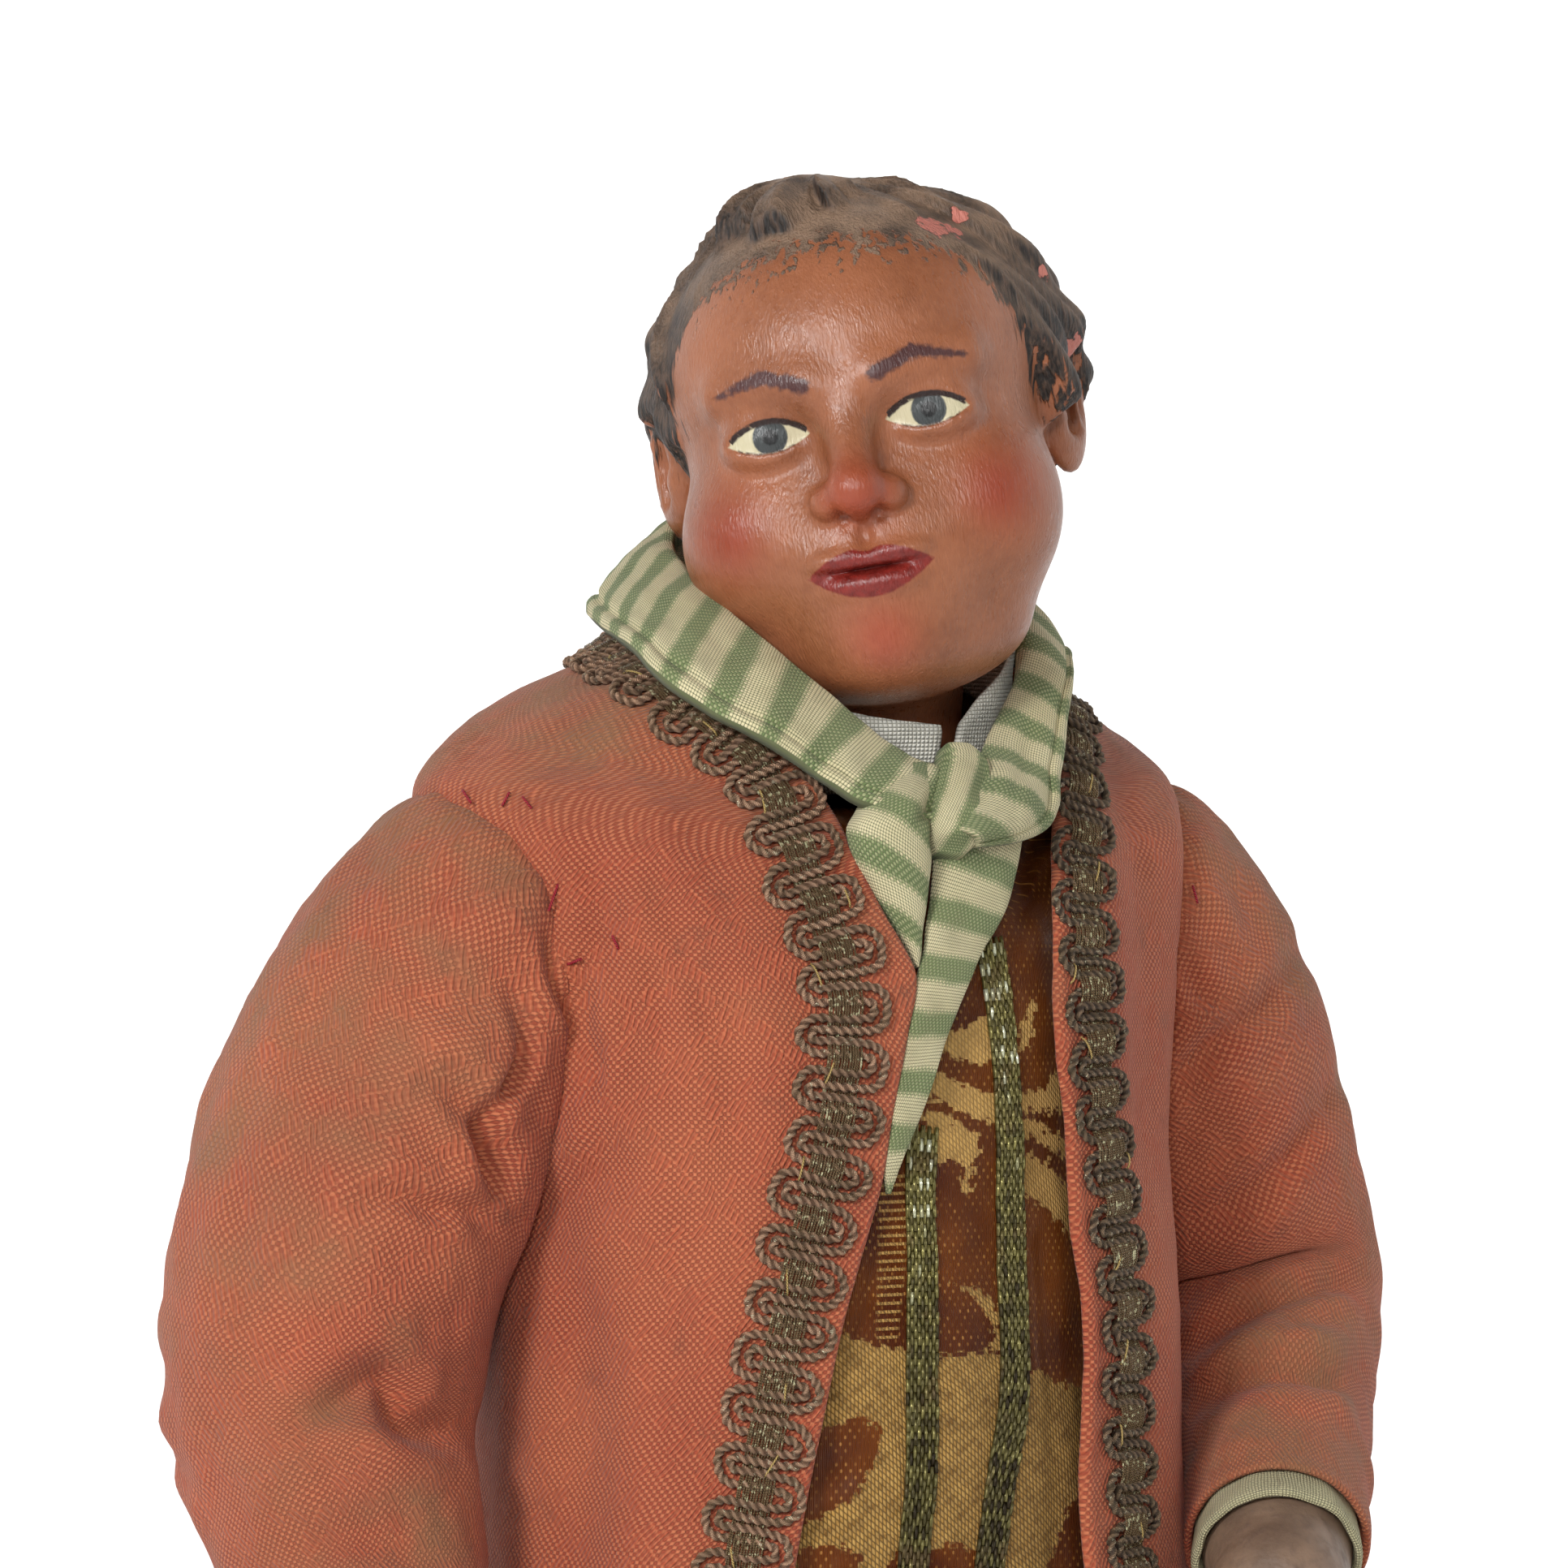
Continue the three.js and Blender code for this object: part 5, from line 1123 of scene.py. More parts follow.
# Chips in the hair's paint: middle and size
CHIPS = [
    ((11, -10.6, 18), 1.5), ((13.2, -9.2, 17.6), 1), ((13.5, -6.4, 19.2), 0.75), ((21, -2.4, 12.1), 0.8),
    ((21.9, 0.5, 4.4), 1.5), ((-15, 8, 17), 1.2), ((4, 24, 9), 1.6),
]


def hair_line(p):
    """How far below the hair's edge a point is."""
    return table_value(HAIR_LINE, p[..., 1], 1) - p[..., 2]


def hair_field(p):
    cap = smooth_min(ellipsoid(p, *HAIR), ellipsoid(p, *TUFT), 3)
    around = np.arctan2(p[..., 0], -p[..., 1])
    flow = around * 11 + 0.28 * p[..., 2] + 0.9 * np.sin(p[..., 2] * 0.24 + around * 3)
    waves = 0.6 * np.sin(flow) + 0.3 * np.sin(flow * 2.7 + 1) + 0.1 * np.sin(flow * 5.3) - 0.5
    curls = 0.5 * np.sin(p[..., 2] * 0.75 + 3 * np.sin(around * 5))
    ragged = 0.9 * np.sin(around * 23) + 0.6 * np.sin(around * 41 + 2)
    from_crown = smoothstep(2, 10, np.hypot(p[..., 0], p[..., 1]))
    return smooth_max(cap - (waves + curls) * from_crown, hair_line(p) + ragged, 1.6)


def lid_arc(x, z, rise):
    """Signed distance to the circle through both eye corners that rises so far."""
    radius = (EYE_HALF**2 + rise**2) / (2 * abs(rise))
    centre = rise - math.copysign(radius, rise)
    return np.hypot(x, z - centre) - radius


def eye_shape(p, side):
    """Signed distance, in the face's plane, to an eye's opening."""
    x = p[..., 0] * side - EYE_X
    return np.maximum(lid_arc(x, p[..., 2], LID_RISE), lid_arc(x, p[..., 2], LOWER_LID_RISE))


def eye_field(d, p, side):
    d = smooth_max(d, -ellipsoid(p, (side * EYE_X, -22.6, 0.2), (5.3, 3.3, 3.4)), 3)
    ball = ellipsoid(p, (side * EYE_X, -16.6, -0.1), (4.6, 3.4, 3.3))
    opening = eye_shape(p, side)
    lid = 0.55 * smoothstep(-0.05, 0.3, opening) * (1 - 0.5 * smoothstep(0.8, 3, opening))
    d = smooth_min(d, ball - lid, 0.9)
    brow = capsule(p, (side * 3.4, -19.9, 4.3), (side * 12, -16.4, 4.9), 2, 1.6)
    return smooth_min(d, brow, 3)


def ear_field(p, side):
    q = np.stack([p[..., 0] * side - 19.8, p[..., 1] - 2.6, p[..., 2] + 1.4], -1)
    x, y = q[..., 0], q[..., 1]
    swing = np.stack([x * 0.94 - y * 0.34, x * 0.34 + y * 0.94, q[..., 2]], -1)
    plate = ellipsoid(swing, (0, 0, 0), (1.9, 4.3, 6.6))
    bowl = ellipsoid(swing, (1.7, -0.2, 0.7), (1.5, 2.7, 3.9))
    ear = smooth_max(plate, -bowl, 0.5)
    ear = smooth_min(ear, capsule(swing, (1.1, 1.2, 3.6), (1.2, 0.9, -2.4), 0.55, 0.45), 0.8)
    return smooth_min(ear, ellipsoid(swing, (0.5, -2.4, -0.6), (1, 1, 1.3)), 0.8)


def head_field(p, turned):
    d = ellipsoid(p, *SKULL)
    for at, half, blend in FACE_FORMS:
        d = smooth_min(d, ellipsoid(p, at, half), blend)
    for side in (-1, 1):
        d = eye_field(d, p, side)
    for at, half, blend in MOUTH_FORMS:
        d = smooth_min(d, ellipsoid(p, at, half), blend)
    parting = ellipsoid(p, (0, -23.6, -14.25), (6, 2.4, 0.34))
    d = smooth_max(d, -parting, 0.5)
    philtrum = ellipsoid(p, (0, -23.3, -10.6), (0.9, 1.5, 1.7))
    d = smooth_max(d, -philtrum, 0.9)
    d = smooth_min(d, capsule(p, (0, -19.6, 2.4), (0, -23.6, -5.6), 1.8, 2.2), 3)
    for at, half, blend in NOSE_FORMS:
        d = smooth_min(d, ellipsoid(p, at, half), blend)
    for side in (-1, 1):
        d = smooth_max(d, -ellipsoid(p, (side * 1.7, -23.4, -9), (0.85, 1.5, 1)), 0.5)
        d = smooth_min(d, ear_field(p, side), 0.9)
    d = smooth_min(d, hair_field(p), 0.5)
    neck_top = (HEAD_AT[0], HEAD_AT[1] + 3, NECK_TOP_Z)
    foot = (NECK_AXIS[0], NECK_AXIS[1], NECK_FOOT_Z - 4)
    d = smooth_min(d, capsule(turned, foot, neck_top, NECK_RADIUS, NECK_RADIUS), 3)
    return np.maximum(d, NECK_FOOT_Z - turned[..., 2])


def head_to_figure(p):
    lean = np.array([[math.cos(HEAD_LEAN), 0, math.sin(HEAD_LEAN)], [0, 1, 0],
                     [-math.sin(HEAD_LEAN), 0, math.cos(HEAD_LEAN)]])
    return p @ (spin(HEAD_TURN) @ lean).T.astype(p.dtype) + HEAD_AT.astype(p.dtype)


def surface_of(field, low, high, step):
    """Points and quads where a field is zero, found on a grid of voxels."""
    axes = [np.arange(low[k], high[k], step, dtype=np.float32) for k in range(3)]
    cells = np.stack(np.meshgrid(*axes, indexing="ij"), -1)
    values = np.concatenate([field(slab) for slab in np.array_split(cells, 12)]).astype(np.float32)
    grid = openvdb.FloatGrid()
    grid.background = 3.0
    grid.copyFromArray(np.clip(values, -3, 3))
    points, quads = grid.convertToQuads()
    return points * step + np.asarray(low, float), quads


def field_piece(name, points, quads, material, node, values=()):
    mesh = new_mesh(name, points + (0, 0, FIGURE_LIFT), quads.tolist(), values)
    clean_mesh(mesh)
    return place_piece(mesh, name, material, [node])


def lips_shape(p):
    x, z = p[..., 0], p[..., 2]
    open_half = np.clip(1 - (x / 6.3) ** 2, -1, 1)
    top = MOUTH_Z + 2.35 * open_half - 0.55 * bell(x, 0, 1.1)
    bottom = MOUTH_Z - 2.75 * open_half
    return np.maximum(z - top, bottom - z) + 20 * (p[..., 1] > -15)


def brow_shape(p):
    flat = np.stack([np.abs(p[..., 0]), p[..., 2]], -1)
    inner = capsule(flat, (3.6, 4.5), (7.6, 6.1), 0.75, 0.7)
    outer = capsule(flat, (7.6, 6.1), (12.4, 4.9), 0.7, 0.25)
    return np.minimum(inner, outer) + 20 * (p[..., 1] > -8)


def paint_values(p):
    """Signed distances to the painted shapes and soft masks of colour, in the head's frame."""
    x, y, z = p[..., 0], p[..., 1], p[..., 2]
    front = 20 * (y > -8)
    side = np.abs(x)
    eye = np.minimum(eye_shape(p, -1), eye_shape(p, 1)) + front
    gaze = np.where(x > 0, x - EYE_X, x + EYE_X)
    local = np.abs(side - EYE_X)
    upper = np.abs(lid_arc(side - EYE_X, z, LID_RISE))
    upper = upper + 3 * smoothstep(3.9, 4.6, local) + 9 * (z < -0.7)
    lower = np.abs(lid_arc(side - EYE_X, z, LOWER_LID_RISE))
    lower = lower + 3 * smoothstep(3.2, 4.2, local) + 9 * (z > 0.7)
    cheeks = np.exp(-(((side - 13.6) / 3.9) ** 2) - ((z + 8.5) / 4.4) ** 2)
    nose = np.exp(-(((p - (0, -24.4, -7)) ** 2).sum(-1) / 11))
    chin = np.exp(-(((p - (0, -22, -21)) ** 2).sum(-1) / 13))
    chips = np.min([np.linalg.norm(p - at, axis=-1) - size for at, size in CHIPS], 0)
    return {
        "hair": hair_line(p), "eye": eye, "iris": np.hypot(gaze - 0.2, z - 0.2) - 1.75 + front,
        "pupil": np.hypot(gaze - 0.2, z - 0.2) - 0.8 + front, "lid": upper - 0.3 + front,
        "lower_lid": lower - 0.1 + front, "brow": brow_shape(p), "lips": lips_shape(p),
        "blush": np.clip(cheeks, 0, 1) * (y < 0), "nose": nose, "chin": chin * (y < 0),
        "chip": chips, "local": p,
    }


def make_head(material):
    def field(cells):
        return head_field(cells, head_to_figure(cells))

    points, quads = surface_of(field, (-26, -29, -44), (27, 30, 30), HEAD_VOXEL)
    placed = head_to_figure(points)
    field_piece("head_clay", placed, quads, material, "head", paint_values(points))


def arm_end(arm):
    end = np.array(arm[-1][:3], float)
    return end, unit(end - np.array(arm[-2][:3], float))


def hand_frame(arm, hand):
    end, way = arm_end(arm)
    along = unit(np.array(hand["along"], float))
    palm = np.array(hand["palm"], float)
    palm = unit(palm - along * (palm @ along))
    across = np.cross(along, palm) * hand["thumb"]
    return end + way * CUFF_SHOWN * 0.5, across, along, palm


def chain(p, places, radii, blend):
    d = capsule(p, places[0], places[1], radii[0], radii[1])
    for i in range(1, len(places) - 1):
        d = smooth_min(d, capsule(p, places[i], places[i + 1], radii[i], radii[i + 1]), blend)
    return d


def make_hand(name, arm, hand, node, material):
    end, way = arm_end(arm)
    base, across, along, palm = hand_frame(arm, hand)
    axes = np.stack([across, along, palm]).T.astype(np.float32)

    def place(side, forward, down):
        return base + across * side + along * forward + palm * down

    def field(cells):
        local = (cells - base.astype(np.float32)) @ axes
        d = capsule(cells, end - way * (CUFF_HIDDEN - 0.3), end, WRIST_RADIUS, WRIST_RADIUS)
        d = smooth_max(d, (end - way * CUFF_HIDDEN + way * 0.3 - cells) @ way.astype(np.float32), 0.3)
        d = smooth_min(d, capsule(cells, end, place(0, 6, 0), WRIST_RADIUS + 0.15, WRIST_RADIUS - 0.5), 1.5)
        d = smooth_min(d, ellipsoid(local, (0, 8.7, 0), (6.4, 8.2, 3)), 2)
        for side, start, length, radius, bend in FINGERS:
            places = [
                place(side * 0.85, start - 4, 0),
                place(side, start + length * 0.4, length * bend * 0.3),
                place(side * 0.98, start + length * 0.75, length * bend * 0.8),
                place(side * 0.94, start + length * 0.88, length * bend * 1.35),
            ]
            finger = chain(cells, places, [radius, radius, radius * 0.9, radius * 0.72], 0.6)
            nail_at = places[3] - palm * radius * 0.55 + along * 0.2
            from_nail = (cells - nail_at.astype(np.float32)) @ axes
            nail = ellipsoid(from_nail, (0, 0, 0), (0.8, 1.1, 0.45))
            d = smooth_min(d, smooth_min(finger, nail, 0.15), 0.9)
        side, start, length, radius = THUMB
        places = [
            place(side * 0.6, start, 0.8),
            place(side * 1.2, start + length * 0.45, 2.2),
            place(side * 1.25, start + length * 0.85, 3.6),
            place(side * 1.15, start + length * 0.95, 4),
        ]
        thumb = chain(cells, places, [radius * 1.2, radius, radius * 0.9, radius * 0.7], 0.6)
        return smooth_min(d, thumb, 1.5)

    corners = np.array([place(s, f, w) for s in (-9, 8) for f in (-8, 31) for w in (-7, 14)])
    points, quads = surface_of(field, corners.min(0), corners.max(0), HAND_VOXEL)
    field_piece(name, points, quads, material, node)


def make_cuff(name, arm, node, material):
    end, way = arm_end(arm)
    rows, sides = 22, 120
    dense = np.linspace(-CUFF_HIDDEN, CUFF_SHOWN, rows)
    outer = tube_rings(end + way * dense[:, None], CUFF_RADIUS, sides)
    wave = 0.22 * wobble(outer, 6, 61)
    outward = unit(outer - outer.mean(1, keepdims=True))
    slope = smoothstep(-CUFF_HIDDEN, CUFF_SHOWN, dense)[:, None] * 0.35
    edge = bell(dense, CUFF_SHOWN, 0.35)[:, None] * 0.3
    ripple = way * (0.3 * wave)[..., None]
    skin = outer + outward * (wave * 0.6 - 0.2 + slope - edge)[..., None] + ripple
    lining = outer + outward * (wave * 0.6 - 1.1 + slope + edge * 0.6)[..., None] + ripple
    rings = np.concatenate([skin, lining[::-1], skin[:1]])
    build = Build()
    build.grid(rings, ring_uv(rings), wrap=True)
    piece = build.piece(name, material, "cuff_linen", [node])


# Breeches, legs and base


def make_breeches(material):
    def field(cells):
        x, y, z = np.moveaxis(cells, -1, 0)
        d = ellipsoid(cells, (0, 0, 168), (37, 28.5, 34))
        for thigh in (RIGHT_THIGH, LEFT_THIGH):
            rows = thigh[:-1] + [thigh[-1][:2] + [KNEE_Z, thigh[-1][3]]]
            leg = chain(cells, [row[:3] for row in rows], [row[3] for row in rows], 2)
            ruck = 0.5 * np.sin(z * 0.5 + 0.1 * x) * smoothstep(118, 92, z)
            band = 0.8 * smoothstep(KNEE_Z + 7, KNEE_Z + 6.4, z)
            d = smooth_min(d, leg - ruck * smoothstep(KNEE_Z + 6, KNEE_Z + 10, z) + band, 5)
        crease = 0.35 * bell(x, 0, 0.5) * (y < 0) * (z > 128)
        folds = 0.6 * wobble(cells * np.array([1, 1, 0.5], np.float32), 15, 71)
        return np.maximum(np.maximum(d + crease - folds, KNEE_Z - z), z - BREECHES_TOP_Z)

    low, high = (-40, -32, KNEE_Z - 3), (40, 32, BREECHES_TOP_Z + 3)
    points, quads = surface_of(field, low, high, BREECHES_VOXEL)
    piece = field_piece("breeches_cloth", points, quads, material, "breeches")


def make_leg(name, foot, knee, node, stocking, leather, brass):
    rows, sides = 90, 72
    z = np.linspace(ANKLE_Z, KNEE_Z - 0.3, rows)
    share = (KNEE_Z - z) / KNEE_Z
    centre_x = knee[0] + (foot["at"][0] - knee[0]) * share
    swell = 1.5 * np.sin(np.minimum(share * 1.4, 1) * np.pi)
    centre_y = knee[1] + (foot["at"][1] + 3 - knee[1]) * share + swell
    radius = table_value(CALF, z, 1)
    angles = full_turn(sides)
    uneven = 1 + 0.006 * np.sin(z * 0.9)[:, None] * np.cos(angles * 2 + z[:, None] * 0.05)
    rings = np.stack([
        centre_x[:, None] + radius[:, None] * np.cos(angles) * uneven,
        centre_y[:, None] + radius[:, None] * 1.04 * np.sin(angles) * uneven,
        np.broadcast_to(z[:, None], (rows, sides)),
    ], -1)
    build = Build()
    build.tube(rings)
    build.piece(name + "_stocking", stocking, "painted_legs", [node])
    make_shoe(name + "_shoe", foot, leather)
    make_buckle(name + "_buckle", foot, brass)


def shoe_place(foot, points):
    return points @ spin(foot["turn"]).T + (*foot["at"], 0)


def shoe_rings(grow, low, high, rows=60, sides=46):
    """Rings of a shoe from toe to heel, kept between two heights."""
    along = np.linspace(SHOE_SECTIONS[0][0], SHOE_SECTIONS[-1][0], rows)
    half = table_value(SHOE_SECTIONS, along, 1) + grow
    height = table_value(SHOE_SECTIONS, along, 2)
    angles = full_turn(sides)
    up = (np.maximum(np.sin(angles), -0.55) + 0.55) / 1.55
    z = np.clip(up[None, :] * height[:, None], low, high)
    return np.stack([half[:, None] * np.cos(angles), np.broadcast_to(along[:, None], z.shape), z], -1)


def make_shoe(name, foot, material):
    build = Build()
    upper = shoe_place(foot, shoe_rings(0, 1.2, 40))
    build.tube(upper)
    sole = shoe_place(foot, shoe_rings(0.35, 0, 1.3))
    build.tube(sole)
    build.piece(name, material, "painted_legs")


def make_buckle(name, foot, material):
    build = Build()
    corners = np.linspace(0, 2 * math.pi, 49)
    x = 4.2 * np.sign(np.cos(corners)) * np.abs(np.cos(corners)) ** 0.6
    y = BUCKLE_Y + 3 * np.sign(np.sin(corners)) * np.abs(np.sin(corners)) ** 0.6
    z = 10.9 - 0.055 * x**2 + (y - BUCKLE_Y) * 0.42
    line = shoe_place(foot, np.stack([x, y, z], -1))
    rings = tube_rings(line, 0.55, 10)
    build.grid(rings, ring_uv(rings), wrap=True)
    build.piece(name, material, "painted_legs")


def make_base(material):
    half_x, half_y, height = BASE_SIZE[0] / 2, BASE_SIZE[1] / 2, BASE_SIZE[2]
    profile = [
        [4, 0], [1.2, 0], [0.3, 0.3], [0, 1], [0, height - 6], [0.1, height - 5.2], [0.9, height - 4.6],
        [1.1, height - 4.2], [1.1, height - 3.6], [1.3, height - 2], [1.9, height - 0.8],
        [2.8, height - 0.2], [4, height], [12, height],
    ]
    angles = full_turn(160)
    rings = []
    for inset, z in profile:
        corner = max(8 - inset, 0.6)
        x = np.sign(np.cos(angles)) * (half_x - inset - corner) + corner * np.cos(angles)
        y = np.sign(np.sin(angles)) * (half_y - inset - corner) + corner * np.sin(angles)
        rings.append(np.stack([x, y, np.full_like(x, z)], -1))
    rings = np.array(rings)
    build = Build()
    build.tube(rings)
    build.piece("base_wood", material, "base_wood", ["base"], lift=0)


# Materials


def srgb(red, green, blue):
    values = np.array([red, green, blue]) / 255
    linear = np.where(values <= 0.04045, values / 12.92, ((values + 0.055) / 1.055) ** 2.4)
    return (*linear.tolist(), 1.0)


class Paint:
    """A material's node tree and short ways to add nodes to it."""

    def __init__(self, name, roughness=0.8, **sockets):
        self.material = bpy.data.materials.new(name)
        self.material.use_nodes = True
        self.tree = self.material.node_tree
        self.shader = self.tree.nodes["Principled BSDF"]
        self.shader.inputs["Roughness"].default_value = roughness
        for key, value in sockets.items():
            self.shader.inputs[key.replace("_", " ")].default_value = value
        self.object_mm = self.scaled(self.node("ShaderNodeTexCoord").outputs["Object"], 1000)
        self.uv_mm = self.scaled(self.node("ShaderNodeUVMap").outputs["UV"], 1000)

    def node(self, kind, inputs=(), **settings):
        node = self.tree.nodes.new(kind)
        for key, value in settings.items():
            setattr(node, key, value)
        for key, value in dict(inputs).items():
            if isinstance(value, bpy.types.NodeSocket):
                self.tree.links.new(value, node.inputs[key])
            else:
                node.inputs[key].default_value = value
        return node

    def scaled(self, vector, scale):
        size = scale if isinstance(scale, tuple) else (scale,) * 3
        return self.node("ShaderNodeVectorMath", {0: vector, 1: size}, operation="MULTIPLY").outputs[0]

    def math(self, operation, a, b=0.0):
        return self.node("ShaderNodeMath", {0: a, 1: b}, operation=operation).outputs[0]

    def plus(self, a, b):
        return self.math("ADD", a, b)

    def minus(self, a, b):
        return self.math("SUBTRACT", a, b)

    def times(self, a, b):
        return self.math("MULTIPLY", a, b)

    def value(self, name):
        return self.node("ShaderNodeAttribute", attribute_name=name).outputs["Fac"]

    def vector(self, name):
        return self.node("ShaderNodeAttribute", attribute_name=name).outputs["Vector"]

    def noise(self, vector, size, detail=2.0, roughness=0.5):
        inputs = {"Vector": vector, "Scale": 1 / size, "Detail": detail, "Roughness": roughness}
        return self.node("ShaderNodeTexNoise", inputs).outputs["Fac"]

    def step(self, value, low, high, start=0.0, end=1.0):
        inputs = {"Value": value, "From Min": low, "From Max": high, "To Min": start, "To Max": end}
        return self.node("ShaderNodeMapRange", inputs, clamp=True).outputs[0]

    def patches(self, size, detail, low, high, roughness=0.5):
        """Soft patches about size across: 0 where the noise is below low, 1 where it's above high."""
        return self.step(self.noise(self.object_mm, size, detail, roughness), low, high)

    def mix(self, factor, a, b):
        node = self.node("ShaderNodeMix", data_type="RGBA")
        for socket, value in ((node.inputs[0], factor), (node.inputs[6], a), (node.inputs[7], b)):
            if isinstance(value, bpy.types.NodeSocket):
                self.tree.links.new(value, socket)
            else:
                socket.default_value = value
        return node.outputs[2]

    def tint(self, base, mask, share, colour):
        """A colour laid over another where a mask says, at most by a share."""
        return self.mix(self.times(mask, share), base, colour)

    def parts(self, vector):
        node = self.node("ShaderNodeSeparateXYZ", {0: vector})
        return node.outputs[0], node.outputs[1], node.outputs[2]

    def finish(self, colour, height=None, distance=0.1, roughness=None):
        self.tree.links.new(colour, self.shader.inputs["Base Color"])
        if roughness is not None:
            self.tree.links.new(roughness, self.shader.inputs["Roughness"])
        if height is not None:
            bump = self.node("ShaderNodeBump", {"Height": height, "Distance": distance * MM})
            self.tree.links.new(bump.outputs[0], self.shader.inputs["Normal"])
        return self.material

    def wave(self, coordinate, pitch):
        """A sine of a coordinate in millimetres."""
        return self.math("SINE", self.times(coordinate, 2 * math.pi / pitch))

    def weave(self, u, v, pitch_u, pitch_v):
        """Bumps of a plain weave, and which of its threads lies on top."""
        cross = self.times(self.wave(u, 2 * pitch_u), self.wave(v, 2 * pitch_v))
        return self.math("POWER", self.math("ABSOLUTE", cross), 0.6), self.step(cross, -0.4, 0.4)


def coat_material():
    paint = Paint("coral_silk", 0.82, Sheen_Weight=0.1, Sheen_Roughness=0.5)
    u, v, _ = paint.parts(paint.uv_mm)
    warp = paint.noise(paint.object_mm, 9, 2)
    u = paint.plus(u, paint.times(warp, 2.2))
    bumps, thread = paint.weave(u, v, 0.38, 0.39)
    bumps = paint.plus(paint.times(bumps, 0.35), paint.times(thread, 0.65))
    slant = paint.plus(u, v)
    counter = paint.minus(u, v)
    lines = []
    for axis, pitch, cross in ((slant, 8.6, counter), (counter, 10.4, slant)):
        jog = paint.times(paint.math("SIGN", paint.wave(cross, 5.2)), 0.9)
        lines.append(paint.step(paint.wave(paint.plus(axis, jog), pitch), 0.8, 0.97))
    lattice = paint.math("MAXIMUM", lines[0], lines[1])
    ribs = paint.step(paint.wave(paint.plus(u, paint.times(v, 0.5)), 0.62), -0.6, 0.8)
    plain = paint.times(bumps, paint.minus(1.0, lattice))
    raised = paint.plus(0.3, paint.times(ribs, 0.75))
    relief = paint.plus(plain, paint.times(raised, lattice))
    blotch = paint.noise(paint.object_mm, 16, 3)
    base = paint.mix(paint.step(blotch, 0.35, 0.68), srgb(168, 72, 42), srgb(184, 92, 56))
    base = paint.tint(base, thread, 0.42, srgb(224, 142, 98))
    base = paint.tint(base, lattice, 0.22, srgb(164, 66, 42))
    # Painted shade: the weave's gaps, where its relief is low, darken to a deep red
    base = paint.mix(paint.step(relief, 0.0, 0.6, 0.2, 1.0), srgb(104, 32, 20), base)
    dust = paint.times(paint.value("dust"), paint.patches(7, 4, 0.3, 0.62, 0.6))
    dust = paint.times(dust, paint.step(paint.noise(paint.object_mm, 1.1, 2), 0.2, 0.75, 0.65, 1.0))
    base = paint.tint(base, dust, 0.78, srgb(136, 102, 68))
    stains = paint.patches(5.2, 5, 0.6, 0.76, 0.65)
    base = paint.tint(base, stains, 0.45, srgb(112, 66, 46))
    return paint.finish(base, relief, 0.22)


def braid_material(name, groove_shade, crest):
    paint = Paint(name, 0.55, Metallic=0.15)
    u, v, _ = paint.parts(paint.uv_mm)
    strands = paint.wave(paint.plus(paint.times(u, 1.2), v), 0.21)
    # Painted shade: each cord darkens in the grooves between its two plies, where the ply value is low
    base = paint.mix(paint.step(paint.value("ply"), -0.5, 0.9), groove_shade, crest)
    tarnish = paint.patches(2.6, 3, 0.42, 0.66)
    base = paint.tint(base, tarnish, 0.45, srgb(96, 82, 54))
    # Painted highlights: near-white glints painted on the strands, where the roughness is also lowered
    glint = paint.patches(0.55, 2, 0.62, 0.7)
    glint = paint.times(glint, paint.step(strands, -0.2, 0.6))
    base = paint.mix(glint, base, srgb(230, 224, 190))
    return paint.finish(base, strands, 0.05, paint.step(glint, 0, 1, 0.62, 0.25))


def core_material():
    paint = Paint("gimp_core", 0.4, Metallic=0.35)
    u, v, _ = paint.parts(paint.uv_mm)
    turns = paint.wave(paint.plus(u, v), 0.24)
    base = paint.mix(paint.step(turns, -0.4, 0.8), srgb(78, 60, 40), srgb(158, 130, 92))
    # Painted highlights: near-white glints painted on the core's wire
    glint = paint.patches(0.45, 2, 0.58, 0.66)
    base = paint.mix(glint, base, srgb(226, 220, 176))
    return paint.finish(base, turns, 0.05)


def thread_material(name, dark, light):
    paint = Paint(name, 0.55)
    u, v, _ = paint.parts(paint.uv_mm)
    turns = paint.wave(paint.plus(u, v), 0.3)
    return paint.finish(paint.mix(paint.step(turns, -0.6, 0.6), dark, light), turns, 0.04)


